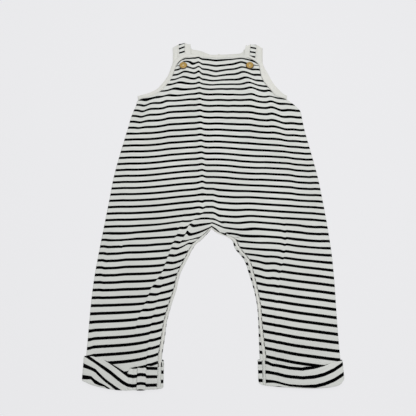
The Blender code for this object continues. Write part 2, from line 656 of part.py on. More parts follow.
def turned_profile(name, points):
    """Open profile in the XZ plane, ready for a full turn about Z."""
    bm = bmesh.new()
    vertices = [bm.verts.new((p.radius * MM, 0.0, p.height * MM)) for p in points]
    for a, b in zip(vertices, vertices[1:]):
        bm.edges.new((a, b))
    mesh_data = bpy.data.meshes.new(name)
    bm.to_mesh(mesh_data)
    bm.free()
    return mesh_data


def surface_top(x, y):
    """Highest point of the bib under a button that is centred at x, y."""
    half = halves()[0 if x < 0 else 1]
    heights = []
    for row in range(len(BIB_ROWS)):
        for i in range(FRONT_COLUMNS + 1):
            point = front_point(row, i / FRONT_COLUMNS, half)
            if math.hypot(point[0] - x, point[1] - y) < BUTTON_RADIUS + BUTTON_SEAT_MARGIN:
                heights.append(point[2])
    return max(heights) + WALL


def buttons(collection, cutters):
    """Two turned wooden buttons, each with two holes."""
    for name, x, y in BUTTONS:
        foot = surface_top(x, y) + GAP
        piece = add_piece(name, turned_profile(name, BUTTON_PROFILE), BUTTON_WOOD, collection, False)
        piece.location = Vector((x, y, foot)) * MM
        turn = piece.modifiers.new("turn", "SCREW")
        turn.axis = "Z"
        turn.steps = turn.render_steps = BUTTON_SEGMENTS
        turn.use_merge_vertices = True
        turn.merge_threshold = 0.00001
        turn.use_normal_calculate = True
        for k, sign in enumerate((-1, 1)):
            bm = bmesh.new()
            bmesh.ops.create_cone(
                bm, cap_ends=True, segments=BUTTON_HOLE_SEGMENTS, depth=BUTTON_RADIUS * MM,
                radius1=BUTTON_HOLE_RADIUS * MM, radius2=BUTTON_HOLE_RADIUS * MM,
            )
            hole_mesh = bpy.data.meshes.new(name + "_hole")
            bm.to_mesh(hole_mesh)
            bm.free()
            hole = bpy.data.objects.new("cutter_%s_%d" % (name, k), hole_mesh)
            hole.location = Vector((x, y + sign * BUTTON_HOLE_PITCH / 2, foot)) * MM
            hole.hide_render = True
            hole.display_type = "WIRE"
            cutters.objects.link(hole)
            cut = piece.modifiers.new("hole", "BOOLEAN")
            cut.operation = "DIFFERENCE"
            cut.object = hole


def build():
    clear_scene()
    collection = bpy.data.collections.new("romper")
    cutters = bpy.data.collections.new("cutters")
    for group in (collection, cutters):
        bpy.context.scene.collection.children.link(group)
    back_panel(collection)
    front_panel(collection)
    front_binding(collection)
    inseam_band(collection)
    straps(collection)
    armhole_bindings(collection)
    neck_binding(collection)
    cuff("cuff_left", LEFT_CUFF, collection)
    cuff("cuff_right", RIGHT_CUFF, collection)
    buttons(collection, cutters)


build()
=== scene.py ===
"""Looks of a baby's striped jersey romper, laid flat on its back on a pale floor.

Sizes are in millimetres and are turned to metres when a mesh gets its points.
+X is the viewer's right, +Y runs from the ankles to the neckline, +Z is up.
The black stripes are numbered from 0 under the neckline binding to 46 above the
cuffs.  The cloth's UV map holds, in its second coordinate, this stripe number,
so that the knitted stripes follow the cloth and step aside at each crease.
"""

import math
from collections import namedtuple

import bmesh
import bpy
import numpy as np
from mathutils import Matrix, Vector


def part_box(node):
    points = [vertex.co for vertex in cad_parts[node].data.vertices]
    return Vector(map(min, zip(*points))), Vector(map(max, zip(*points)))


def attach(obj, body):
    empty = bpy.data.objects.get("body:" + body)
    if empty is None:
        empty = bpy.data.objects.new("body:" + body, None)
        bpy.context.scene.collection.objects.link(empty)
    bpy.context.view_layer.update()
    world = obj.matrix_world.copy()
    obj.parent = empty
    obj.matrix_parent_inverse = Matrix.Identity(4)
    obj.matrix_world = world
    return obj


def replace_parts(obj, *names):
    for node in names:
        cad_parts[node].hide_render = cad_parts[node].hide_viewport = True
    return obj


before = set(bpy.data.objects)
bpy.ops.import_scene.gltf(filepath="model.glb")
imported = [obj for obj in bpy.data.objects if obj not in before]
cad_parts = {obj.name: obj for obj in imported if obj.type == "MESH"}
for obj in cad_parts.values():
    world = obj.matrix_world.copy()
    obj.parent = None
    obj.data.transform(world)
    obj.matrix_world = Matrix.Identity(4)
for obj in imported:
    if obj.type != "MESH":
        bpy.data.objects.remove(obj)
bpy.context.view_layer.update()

MM = 0.001
WELD = 0.02             # grids that come this near are joined

# Cloth
WALL = 0.8              # one layer of jersey
RIB_WALL = 0.45         # one layer of a folded binding
LAYER = 0.9             # height of one layer in the stack
LOFT = 2.6              # air under the front away from its seams
LOFT_FADE = 26.0
CREASE_FADE = 8.0       # width beside a seam in which the creases grow
EDGE_ROLL = 2.4         # width of the rounded edge at a seam
ROLL_PLACES = (0.0, 0.25, 0.7, 1.3, 2.1)   # points in that edge
ROLL_END = 3.2
KNOT_HALF = 0.5
SEAM_TOP = 2.1          # top of the front beside its seams
PITCH = 11.8            # spacing of the stripes
STRIPE_WIDTH = 4.5      # of a black stripe: 3.7, and more for the photograph's softness
WALE = 1.25             # spacing of the knit's ribs

# Bindings
BINDING_WIDTH = 8.0
BINDING_DEPTH = 1.9     # binding folded over the panel edge
BINDING_BITE = 0.2      # how far its near rail lies inside the panel edge
BINDING_DROP = 0.3      # of its near rail
BINDING_RISE = 0.2      # of its far rail
NECK_SLACK_Y = (262.0, 270.0)
NECK_SLACK_X = (16.0, 30.0)    # middle and half of the slack stretch
NECK_SLACK = 1.6
NECK_SLACK_RISE = 1.2
CORNER_Y = (254.0, 262.0)
CORNER_REACH = 11.0
LEFT_CORNER = (-55.0, 1.2)     # x, and what it adds to the binding's width
RIGHT_CORNER = (76.0, -2.4)
BAND_WIDTH = 4.6
BAND_WIDTH_AT_APEX = 2.2
BAND_GROWTH = 40.0      # distance from the apex at which the tape has its full width
BAND_DEPTH = 1.3
BAND_BITE = 0.7
BAND_DROPS = (0.9, 0.8)        # of its near and its far rail
TAPE_END_Y = -280.0     # where the tape ends, inside the cuff
TAPE_END_DROP = 1.2
RIBBON_WIDTH = 10.0
RIBBON_STITCHES = (0.2, 0.8)   # shares of its width

# Rows, counted in stripes
FIRST_ROW = -0.45
UNDERARM = 7.0
FORK_ROW = 28.0
APEX = 30.2
FORK_END = 31.0
LAST_STRIPE = 46.0
CUFF_RISE_ROWS = (42.8, 44.6)
HIDDEN_SLACK = 0.35     # share that the cloth is slack where it goes under the left cuff
HIDDEN_SLACK_X = (-111.0, -116.0)
RIDGE_X = -18.0
LEFT_DROOP_SHARE = 0.8
LEG_END_RISE = 13.0     # of a leg's end above its cuff's lower edge

# The front lies flatter towards the neckline and in the cuffs
BIB_FLAT_Y = 236.0
BIB_FLAT_RUN = 25.0
BIB_LOFT_SHARE = 0.2
CUFF_BACK_TOP_Y = -264.0
CUFF_FLAT_RUN = 32.0
STRAP_LIFT = LAYER + 0.3
STRAP_LIFT_START_Y = 225.0
STRAP_LIFT_RUN = 12.0
STRAP_LIFT_MARGIN = 9.0
STRAP_LIFT_FADE = 7.0

# The back, against the front
BACK_SHIFT = 0.5        # of its stripes, in stripes
BACK_INSET = 0.9        # of its sides
BACK_SIDE_DROP = 6.0    # of its rows at the underarm
BACK_CROTCH_DROP = 2.4
BACK_NECK_ROWS = 1.5    # rows in which it takes the neckline's form
BACK_NECK_GAP = 0.3     # to the neckline's binding
BACK_RISE_SHARE = 0.625 # share of a row in which it rises to its middle's height
BACK_JOIN_ROWS = (4.0, UNDERARM)      # here its stripes turn from level to the front's
BACK_SIDE_ROWS = (17.0, UNDERARM)
ABOVE_CROTCH_ROWS = (26.0, 30.0)
BELOW_CROTCH_ROWS = (34.0, 30.0)
BACK_STRAIGHT_ROWS = (FORK_ROW, APEX + 2.0)
BACK_EDGE_SHARE = 0.125 # share of a row in which the troughs grow

Edge = namedtuple("Edge", "stripe x y")
Inseam = namedtuple("Inseam", "stripe x y back_margin")
Rail = namedtuple("Rail", "outer_x outer_y inner_x inner_y")
Hem = namedtuple("Hem", "x top_y bottom_y")
Strip = namedtuple("Strip", "top_x low_x fold_y")
StrapStation = namedtuple("StrapStation", "below height")
CuffStripe = namedtuple("CuffStripe", "x first second third fourth")
Turning = namedtuple("Turning", "radius height")
Button = namedtuple("Button", "name node x y")
Crease = namedtuple("Crease", "left right folds")
Fold = namedtuple("Fold", "stripe x pull height", defaults=(0.0, 0.0))
Station = namedtuple("Station", "at value")
Climb = namedtuple("Climb", "rows straight power")

# A leg's row climbs to the inseam: the share that is straight and the power of the rest,
# each as it is at the first and at the last of the rows.
LEG_CLIMBS = {-1: Climb((37.0, 41.0), (0.15, 0.3), (6.4, 4.0)),
              1: Climb((APEX, 31.4), (0.5, 0.92), (10.0, 10.0))}


def rows_of(kind, *rows):
    """A table: each row's values under the names of its kind."""
    return tuple(kind(*row) for row in rows)


def crease(left, right, *folds):
    return Crease(left, right, rows_of(Fold, *folds))


FRONT_LEFT_EDGE = rows_of(
    Edge, (-0.45, -49, 271.4), (-0.2, -54, 268.8), (0.5, -62.5, 261), (1, -67, 253), (2, -70, 243),
    (3, -73, 232.5), (4, -78, 222.6), (5, -84.5, 212), (6, -96.5, 197.3), (6.5, -111, 188.5),
    (7, -133, 180.5), (8, -137.5, 169.6), (10, -144.5, 147.5), (12, -149.5, 123.3),
    (16, -159.5, 76), (20, -168, 30), (24, -172.8, -14.2), (28, -178, -59.3), (32, -183, -103.6),
    (36, -187.2, -150.1), (40, -188.6, -198), (46, -188.4, -272),
)
FRONT_RIGHT_EDGE = rows_of(
    Edge, (-0.45, 68.5, 270.2), (-0.2, 73, 268), (0.5, 83, 260.6), (1, 88, 253), (2, 89.2, 242.5),
    (3, 91, 231), (4, 96, 218.6), (5, 102, 208.3), (6, 110, 197), (6.5, 116.5, 188), (7, 134, 182),
    (8, 148.5, 170), (9, 158.5, 157.5), (10, 160.5, 144.2), (12, 163.5, 119.3), (16, 172, 72.5),
    (20, 179.5, 28.8), (24, 184.5, -16), (28, 188.4, -60.6), (32, 191, -106.8), (36, 191, -154.5),
    (40, 189.6, -202.9), (46, 188.6, -275),
)
RIDGE = rows_of(
    Edge, (-0.45, RIDGE_X, 274), (-0.2, RIDGE_X, 270.8), (0, RIDGE_X, 268.6), (1, RIDGE_X, 258),
    (2, RIDGE_X, 246.5), (4, RIDGE_X, 223), (6, RIDGE_X, 202.5), (8, RIDGE_X, 180),
    (12, RIDGE_X, 131.8), (16, RIDGE_X, 85), (20, RIDGE_X, 40), (24, RIDGE_X, -4),
    (28, RIDGE_X, -48), (APEX, RIDGE_X, -66),
)
CENTRE = rows_of(
    Edge, (-0.45, 8, 269.9), (-0.2, 8, 268.3), (1, 8, 254.3), (2, 8, 242.5), (4, 8, 221.2),
    (6, 7, 202.2), (8, 6, 179), (12, 4.5, 131), (16, 3, 84.3), (20, 2, 39.5), (24, 1, -3.8),
    (28, -0.5, -45), (APEX, -1.8, -59.5),
)
LEFT_INSEAM = rows_of(
    Inseam, (APEX, -1.8, -59.5, 0.5), (31, -20, -77, 4), (32, -32.5, -87.5, 5),
    (34, -45.5, -113, 5), (36, -56.3, -136.8, 4.8), (38, -61.5, -161, 4.4), (40, -69, -185.4, 4.8),
    (42, -75.2, -209, 5.2), (44, -78, -233.6, 5.4), (46, -81.5, -257.5, 5.8),
)
RIGHT_INSEAM = rows_of(
    Inseam, (APEX, -1.8, -59.5, 0.5), (30.35, 4.5, -64.5, 1), (30.5, 12.5, -68.6, 1.5),
    (30.65, 24, -71.6, 2.5), (31, 36.5, -79.6, 5), (32, 43.5, -93.5, 8), (34, 59, -114.5, 8.6),
    (36, 65.5, -138.5, 7.6), (38, 70.5, -163, 6), (40, 74, -187, 5.6), (42, 75, -211, 5.8),
    (44, 76.5, -235.5, 7.4), (46, 78.6, -259.5, 9.4),
)
BACK_LEFT_ARMHOLE = rows_of(
    Rail, (-134.5, 184.5, -134.8, 175), (-117, 189.5, -113, 181), (-104.5, 197.5, -97.5, 191.5),
    (-95, 208.5, -86.5, 204), (-86.5, 222, -77.5, 218.5), (-79.5, 237, -69.8, 235),
    (-75.5, 249, -64.8, 248), (-73.6, 262, -62.6, 262),
)
BACK_RIGHT_ARMHOLE = rows_of(
    Rail, (136, 187.5, 134.6, 175), (128.5, 194.5, 123.5, 187), (121.8, 202.3, 115.3, 195.5),
    (114.2, 213.2, 106.3, 208.5), (108.7, 224, 99.7, 221), (103.6, 236.5, 94.6, 234),
    (96.8, 252.5, 87.3, 250.5), (94.4, 265, 83.4, 264.5),
)
BACK_NECK = rows_of(
    Rail, (-39.6, 293.5, -50.2, 291.5), (-36, 290.8, -47, 283.5), (-28.9, 289.6, -36.5, 280),
    (-20.2, 287, -24.5, 277), (-11.3, 282.8, -15, 272.8), (-3, 279.2, -5, 269),
    (6, 278.8, 5.5, 268.4), (10.5, 279.2, 10, 268.6), (13.5, 281, 13, 269.4),
    (16.5, 279.3, 16, 268.8), (22, 279.4, 22, 269), (38, 280.6, 38.5, 270.2),
    (50, 281.6, 56, 271.8), (55, 283, 62.5, 274.6), (58.6, 286, 67.5, 279),
    (60.6, 290.8, 70.6, 286.5),
)
LEFT_STRIPS = rows_of(
    Strip, (-74.6, -73, 295), (-63, -61.8, 303.4), (-52, -50.6, 306.2), (-40.8, -39, 302.6),
)
RIGHT_STRIPS = rows_of(
    Strip, (96.2, 95, 294.4), (84.6, 80.6, 302), (73.6, 69.4, 303), (64.6, 57.5, 300.6),
)
STRAP_FOLD = rows_of(
    StrapStation, (9, 0.9), (4.2, 1), (2.1, 1.5), (1.2, 2.3), (1.9, 3.1), (4.2, 3.5), (9, 3.4),
    (15, 2.8), (24, 2),
)
STRAP_SEAM_Y = 284.3
STRAP_FRONT_Y = (258.0, 246.0)
STRAP_LEVEL_Y = 262.0
STRAP_STRIPE_SPACING = 9.3
STRAP_STRIPE_START = {-1: 272.4, 1: 273.6}
STRAP_LEAN = -0.12
STRAP_MIDDLE_WIDTH = 11.0

LEFT_CUFF = rows_of(
    Hem, (-191.6, -258.5, -292.5), (-177, -259.6, -298.4), (-156, -266.3, -303.4),
    (-139.5, -275, -305.7), (-130, -280.6, -306.1), (-125, -282.8, -306.2),
    (-123.6, -277.6, -306.1), (-122, -275.8, -306.1), (-112.4, -273.6, -305.8),
    (-110.6, -275.2, -306), (-104.5, -275.8, -306.2), (-98.4, -275, -305.8),
    (-96.8, -272.6, -305.2), (-81, -274.2, -304.4), (-72.4, -274.2, -302.2),
)
RIGHT_CUFF = rows_of(
    Hem, (66, -264.5, -294.6), (70, -264.8, -297.6), (79, -265.6, -299.8), (99, -269.6, -301.6),
    (126, -273.6, -303.2), (147, -273.6, -303.4), (166.5, -271, -302.4), (178, -267.6, -300.4),
    (185.5, -266.2, -297.4), (191.6, -265.6, -290.6),
)
# Height of the first four stripes of each cuff, at x.
LEFT_CUFF_STRIPES = rows_of(
    CuffStripe, (-192, -243.5, -256, -271.5, -287.6), (-186, -247, -259.4, -273.6, -288.4),
    (-178, -252, -264.4, -276.6, -288.8), (-172, -256, -268.1, -279.2, -294),
    (-165, -260, -272.4, -286, -297.4), (-158, -264, -276.4, -292.4, -299.6),
    (-150, -268.6, -281.4, -298, -304), (-140, -274.7, -289, -304.1, -316),
    (-131, -281, -295.4, -309, -322), (-124, -286, -298.8, -311.4, -324),
    (-117, -287.2, -300, -312.4, -325), (-111.2, -286.8, -299.4, -311.8, -324),
    (-110.4, -285, -297.4, -306.8, -318), (-105, -284.4, -296.6, -305.8, -317),
    (-98.4, -285.2, -297.2, -307, -318), (-97.2, -287.6, -299.2, -310.6, -322),
    (-81, -287.5, -298.7, -310.4, -322), (-78, -287.5, -298.7, -310.4, -322),
    (-77, -281.5, -294.2, -306.8, -319), (-72, -281.3, -294, -306.6, -319),
)
RIGHT_CUFF_STRIPES = rows_of(
    CuffStripe, (66, -268.7, -281, -292.4, -305), (74, -268.8, -281, -292.7, -305.4),
    (75, -267.6, -280.7, -293.6, -306), (80, -268.4, -281.3, -293.7, -305),
    (87, -271.3, -282.4, -294.2, -302.4), (95, -272.3, -283.9, -296, -301.2),
    (104, -274, -286.3, -298.6, -302.6), (112, -275.6, -287.4, -300.1, -304),
    (130, -277.1, -289.1, -301, -308), (148, -274.4, -287.8, -300.3, -313),
    (162, -270.8, -284.6, -297.2, -310), (177, -264.6, -278.3, -291.6, -305),
    (188, -259, -271.6, -285.3, -299), (192, -256, -269, -282.4, -296),
)
# The seam's plain strip on each cuff, the pleat of the left one, and small tucks.
LEFT_CUFF_SEAM = (-81.2, -76.4)
RIGHT_CUFF_SEAM = (72.6, 76.2)
CUFF_PLEAT = (-110.8, -97.8)
LEFT_CUFF_TUCKS = (-124.3, -118.0)
RIGHT_CUFF_TUCKS = (94.0,)
CUFF_TOP = 5.2          # height of the cuff's front
CUFF_CROWN = 0.7
CUFF_FOLD = 2.0         # depth of the cloth turned in at the lower edge
CUFF_BACK_HEIGHT = 2.7  # height of the cuff's back past the seam
CUFF_SEAM_DEPTH = 1.3
CUFF_TUCK_DEPTH = 0.8
CUFF_LINE_REACH = 0.8
CUFF_KNOT_PLACES = (-1.2, -0.4, 0.0, 0.4, 1.2)
CUFF_INSIDE = (2.0, 5.0, 9.0)  # rows of the cloth turned in, above the lower edge
CUFF_FRONT_FROM = 0.2   # how far up the side the front begins
CUFF_STEP = 0.8         # half of the step down at the seam
SEAM_MARGIN = 0.1
PLEAT_RISE = 1.9
PLEAT_SLOPE = 0.8
PLEAT_LINE_AWAY = 1.0   # of the hollow on each side of the pleat
PLEAT_LINE_DEPTH = 0.9
PLEAT_LINE_REACH = 0.7

# Creases of the front.  Each has a width on its left and on its right, and stations of
# stripe number, x, pull of the stripes (up is plus) and height of the crease.  A pull or
# height that is left out is 0.
CREASES = (
    # soft ridge that runs down from the left button, and the dip beside the button
    crease(9, 15, (-1, -49, 1, 0.5), (0, -50, 1.6, 0.6), (0.37, -50.5, 7.4, 0.7), (1, -51, 8, 0.8),
           (2, -51.5, 5.6, 1), (3, -51, 5.2, 1), (4, -56, 4.6, 0.9), (5, -62, 2.4, 0.7),
           (6, -72, 3.4, 0.6), (7, -84, 4.6, 0.6), (8, -80, 3.4, 0.5), (9.5, -76, 2.2, 0.4),
           (12, -76, 1.2, 0.3), (15, -76, 0.8), (20, -76)),
    crease(5, 4, (0.4, -37, 0, -0.3), (1, -37, -2.6, -0.6), (1.7, -36, -0.6, -0.4), (3, -35)),
    # sharp crease down the middle, and the hollow right of it
    crease(6, 4, (-1, -25, 2, 0.6), (0, -25, 2.5, 0.8), (2, -24.5, 5.6, 1), (4, -24, 3.4, 0.9),
           (6, -23, 1.4, 0.7), (14, -20, 1.2, 0.6), (20, -17, 1.8, 0.5), (22, -17, 2.4, 0.4),
           (24, -16, 1, 0.2), (25, -16)),
    crease(12, 14, (-1, 6, -0.6, -0.3), (1, 6, -1.4, -0.5), (2.5, 7, -3.2, -0.6),
           (4, 1, -2.6, -0.6), (7, -5, -1.4, -0.3), (18, -6, -0.9), (23, -6)),
    # soft ridge that runs down from the right button
    crease(12, 11, (-1, 52, 2, 0.5), (0, 53, 2.4, 0.7), (0.6, 55, 4.8, 0.9), (1, 55, 4.8, 1),
           (3, 60, 4.8, 1.1), (4, 66, 6.2, 1.1), (6, 72, 5, 0.9), (9, 68, 2, 0.5),
           (12, 66, 1.4, 0.2), (16, 62)),
    # the corners by the buttons, where the top stripe follows the binding
    crease(9, 6, (-1, -57, -2.6), (0.1, -57, -2.6), (0.5, -62, -6.5, -0.3), (0.8, -65, -9, -0.3),
           (0.9, -67, -8), (1, -67)),
    crease(8, 9, (-1, 76, -2.6), (0.1, 77, -2.6), (0.5, 82, -6.5, -0.4), (0.8, 86, -9, -0.4),
           (0.9, 88, -9), (1, 88)),
    # the crotch: a rounded top, and the cloth rolled under right of it
    crease(5, 5, (27, -3), (29, -4, -0.9, 0.3), (30.2, -3, -1.2, 0.3)),
    crease(7, 8, (29.2, 12, 0, 0.2), (29.7, 13, -4.5, 0.5), (30.7, 16, -9, 0.8)),
    # drag lines from the right arm
    crease(6, 9, (5.5, 104, 2, 1.2), (8, 106, 2, 1.1), (11, 106, 1.2, 0.7), (15, 108)),
    crease(8, 10, (7, 118, 0, -0.6), (9, 124, -2, -0.8), (13, 128, -1.8, -0.5), (17, 132)),
    # drag lines from the left arm
    crease(9, 14, (6, -96, 2.6, 0.8), (8, -106, 1.6, 0.7), (11, -112, 0.8, 0.2), (13, -118)),
    crease(7, 7, (7, -119, -1.8, -0.8), (9, -124, -2.8, -0.9), (12, -129, -1.2, -0.5), (14, -136)),
    # the long fold from the crotch into the left leg: its outer line
    crease(0.6, 9, (26.5, -46), (28, -50, 0.8, 0.5), (29, -54, 1.6, 0.9), (31, -64, 2.4, 1.2),
           (34, -75, 2.9, 1.3), (35, -79, 2.6, 1.3), (37, -95.5, 2.6, 1.2), (39, -104, 1.4, 0.9),
           (41, -114, 1.2, 0.7), (43, -118)),
    # its inner line
    crease(1.2, 5, (27.7, -24, 0, 0.4), (28.4, -33, 3, 1.1), (29, -39, 4.4, 1.2),
           (30, -44, 4.4, 1.1), (30.8, -50, 1, 0.7), (32, -56, 0, 0.4), (35, -70, 0, 0.2)),
    # notch above it
    crease(4, 3, (23.8, -16), (25, -18, -1.4, -0.4), (26, -15, -2, -0.6), (27, -19, -1.6, -0.6),
           (28, -25, -1.4, -0.5), (28.3, -30)),
    # second fold of the left leg, down into the cuff
    crease(1, 5, (35, -72, 0, 0.3), (38, -82, 0.4, 0.5), (41, -91, 0.8, 0.7), (44, -96, 0.7, 0.9),
           (47, -98, 0.6, 1.3)),
    # jogs down the right leg
    crease(5, 1, (26, 116), (29, 118, -1, -0.4), (31, 117, -1.2, -0.6), (33, 112, -1.2, -0.6),
           (36, 103, -0.8, -0.5), (40, 99, 0, -0.2)),
    crease(9, 9, (32, 82), (34, 84, -2, -0.5), (36, 85, -1.7, -0.5), (38, 86)),
    crease(1.5, 4, (36, 97, 0, 0.2), (40, 96, -0.3, 0.5), (46, 94, -0.3, 0.5)),
    # small jog at the left thigh
    crease(2.5, 1, (30, -146), (31, -146, -1, -0.4), (32, -146)),
)
# Slack: wide and smooth pulls of the stripes, with no crease to see.
SLACK = (
    crease(140, 150, (11, 0), (15, 0, -0.7), (26, 0, -0.7), (30, 0)),
    crease(25, 25, (8, -118), (10, -118, -1.4), (12, -118, -0.7), (18, -118)),
    crease(18, 18, (6, -50), (8, -50, 1.4), (10, -50, 0.8), (13, -50)),
    crease(14, 16, (0, 40, 1), (2, 40, 0.8), (4, 42, 0.8), (8, 48, 1.4), (11, 44, 1), (13, 44)),
    crease(10, 10, (0, 84, 1.5), (1.5, 86, 1.8), (4, 92, 1.5), (5, 96)),
    crease(18, 16, (8, 140), (10, 144, -1.4), (12, 146, -2.2), (15, 150, -1.2), (17, 152, -1.9),
           (20, 154, -2.2), (23, 154, -1.6), (26, 150)),
    crease(24, 24, (15, 60), (18, 64, -1.2), (21, 54, -1.1), (23.5, 50)),
    crease(10, 7, (-1, -31, 1.7), (0.2, -31, 1.7), (0.5, -31)),
    crease(14, 14, (27.3, -38), (28, -38, -1.3), (28.6, -38, -1.3), (29, -38)),
    crease(9, 9, (27.2, 2), (28, 4, -1.5), (29, 12, -2), (29.5, 12)),
    crease(16, 14, (27.2, 160), (28, 160, -1.4), (29, 162, -1.1), (31, 164, -0.3)),
    crease(20, 20, (28.6, -146), (29, -146, -1.2), (30, -148, -1.5), (30.6, -150)),
    crease(7, 7, (28.6, -50), (29, -50, -2), (29.5, -50)),
    crease(26, 22, (29.6, -76), (30, -78, 1), (31, -72, 1.3), (33, -90, 0.2)),
    crease(8, 9, (30.6, -33), (31, -34, 5), (31.6, -37, 4), (32, -38, 2), (32.4, -40)),
    crease(9, 8, (29.6, 35), (30, 35, 2), (30.5, 36, 0.5), (31, 38, -1.6), (31.5, 40)),
    crease(58, 22, (21, -45), (23, -48, -1.2), (26, -48, -1.7), (28, -46, -3.5), (29, -54, -0.8),
           (30, -60)),
    crease(12, 36, (22, 16), (23.5, 16, -1.9), (26, 16, -3), (28, 18, -6), (29, 22, -5),
           (30, 36, -1), (31, 50, -2.4), (32, 52, -0.8), (33, 54)),
    crease(8, 8, (30.5, -40), (31, -42, 3.2), (32, -45, 3), (33, -51, 0.8), (34, -54)),
    crease(9, 9, (34.5, -64), (35.5, -66, 1.6), (37, -72, 1), (39, -82, 0.7), (41, -88)),
    crease(8, 22, (29, -164), (31, -164, -1.6), (34, -166, -1.7), (37, -166, -0.8), (40, -168)),
    crease(60, 60, (42, -125), (44, -125, 1.1), (46, -125, 2)),
    crease(9, 9, (40, -190), (44, -190, -1.6), (46, -190, -1)),
    crease(28, 32, (28, 150), (31, 152, -2), (33, 154, -1), (35, 154)),
    crease(44, 60, (32, 154), (34, 154, -0.8), (38, 154, -0.9), (46, 146, -2.1)),
)
# Soft troughs on the back's outer side, none deeper than BACK_TROUGH.
BACK_TROUGH = 1.1
BACK_CREASES = (
    crease(7, 11, (8, -104, 0, 0.4), (10, -98, 1, 0.9), (14, -84, 1, 0.6), (18, -72)),
    crease(9, 6, (7, 96, 0, 0.3), (10, 92, -1, 0.8), (15, 84, -0.8, 0.6), (20, 80)),
    crease(5, 9, (18, 12), (22, 4, 1.2, 0.7), (26, -4, 1.6, 1), (29, -8, 1, 0.7), (30, -8)),
    crease(12, 5, (24, -96), (27, -78, -1.2, 0.8), (30, -62, -1.6, 1.1), (33, -60)),
    crease(6, 12, (25, 92), (28, 78, -1, 0.9), (31, 66, -1.4, 1), (34, 68)),
    crease(5, 8, (34, -112), (38, -120, 0.8, 0.9), (42, -132, 0.8, 0.8), (45, -138)),
    crease(9, 5, (32, 140), (36, 132, -0.8, 0.8), (40, 120, -1, 0.9), (44, 112, 0, 0.3)),
)
# Lines where the front's columns of faces crowd together: stripe number and x.
LEFT_OUTER_KNOT = rows_of(
    Fold, (-0.45, -40), (0.5, -48), (3, -52), (6, -58), (10, -62), (16, -58), (22, -49),
    (26.5, -46), (28, -50), (29, -54), (31, -64), (34, -76), (37, -96), (39, -104), (41, -114),
    (43, -118), (47, -122),
)
LEFT_INNER_KNOT = rows_of(
    Fold, (-0.45, -25), (4, -24), (6, -23), (14, -20), (20, -17), (24, -15), (25, -17), (27, -19),
    (28, -25), (28.5, -34), (29, -39), (30, -44), (30.8, -50), (32, -56), (35, -71), (38, -82),
    (41, -91), (44, -96), (47, -98),
)
RIGHT_KNOT = rows_of(
    Fold, (-0.45, 50), (2, 62), (4, 78), (6, 96), (9, 105), (14, 107), (20, 110), (26, 116),
    (29, 118), (31, 117), (33, 112), (36, 103), (40, 98), (47, 94),
)

BUTTONS = rows_of(
    Button,
    ("button_left_turned", "button_left", -53.3, 250.4),
    ("button_right_turned", "button_right", 70.0, 250.2),
)
BUTTON_PROFILE = rows_of(
    Turning, (2.9, 2), (3.5, 1.9), (4, 1.7), (4.5, 1.9), (5, 2.7), (5.6, 3), (6.5, 2.9), (7.2, 2.5),
    (7.4, 1.8), (7.3, 1.1), (6.2, 0.3), (4.8, 0), (2.9, 0),
)
BUTTON_SINK = 0.6       # how far a button may lie below its solid
BUTTON_ROW = 1.0        # row of the cloth under a button, and its distance from a seam
BUTTON_SEAM = 15.0
# middle of the groove, darkened partly by the wood's stain and partly by painted shade
GROOVE_RADIUS = 4.2
RIM_SHADE_RADIUS = 5.8      # where the painted shade on the rim's outer side begins
RIM_SHADE_FADE = 0.8
HOLE_RADIUS = 0.75
HOLE_OFFSET = 1.6       # of each hole from the button's middle
THREAD_WIDTH = 0.5
THREAD_HEIGHT = 0.8
THREAD_LENGTH = 2.0 * HOLE_OFFSET + 1.2
THREAD_LIFT = 0.2
STITCH_PITCH = 2.7
STITCH_LENGTH = 2.1
STITCH_WIDTH = 0.5
STITCH_HEIGHT = 0.35
STITCH_LIFT = 0.05      # of stitches over a binding
STITCH_SINK = 0.03      # of stitches into a ribbon
STEEPEST_STITCH = 0.2   # none is drawn over a strap's fold, where they would stand off
STITCHES_AT_ONCE = 12   # a long bmesh is slow to add to, so rows are made in short parts

SENSOR_WIDTH = 36.0
FOCAL_PIXELS = 427.0
PHOTO_PIXELS = 416.0
CAMERA_PLACE = (-0.0075, -0.25295, 0.6736)
CAMERA_DOWN = 71.4      # degrees
FLOOR_HALF = 20.0
FLOOR_GAP = 0.0002      # below the garment

JERSEY_WHITE = "DCDEDA"
JERSEY_SHADE = "CED0CC"
RIB_WHITE = "E0DFD9"
YARN_BLACK = "020203"
WOOD = ("CFAA50", "9E7A30")
# dark brown: the groove's stain, also used as painted shade in the groove and on the rim's side
WOOD_STAIN_AND_SHADE = "4C3714"
COTTON = ("D2D0C8", "E6E4DC")
PAPER = "5F5F60"
PAPER_GLOW = "E9E9EB"


# ---------------------------------------------------------------- arithmetic

def smoothstep(value):
    value = np.clip(value, 0.0, 1.0)
    return value * value * (3.0 - 2.0 * value)


def lerp(start, end, share):
    return start + (end - start) * share


def fade(value, start, end):
    """0 at start, 1 at end, smooth between them."""
    return smoothstep((value - start) / (end - start))


def bell(value, middle, reach):
    """1 in the middle, falling to nothing on both sides."""
    return np.exp(-((value - middle) / reach) ** 2)


def stack(*layers):
    return np.stack(np.broadcast_arrays(*layers), axis=-1)


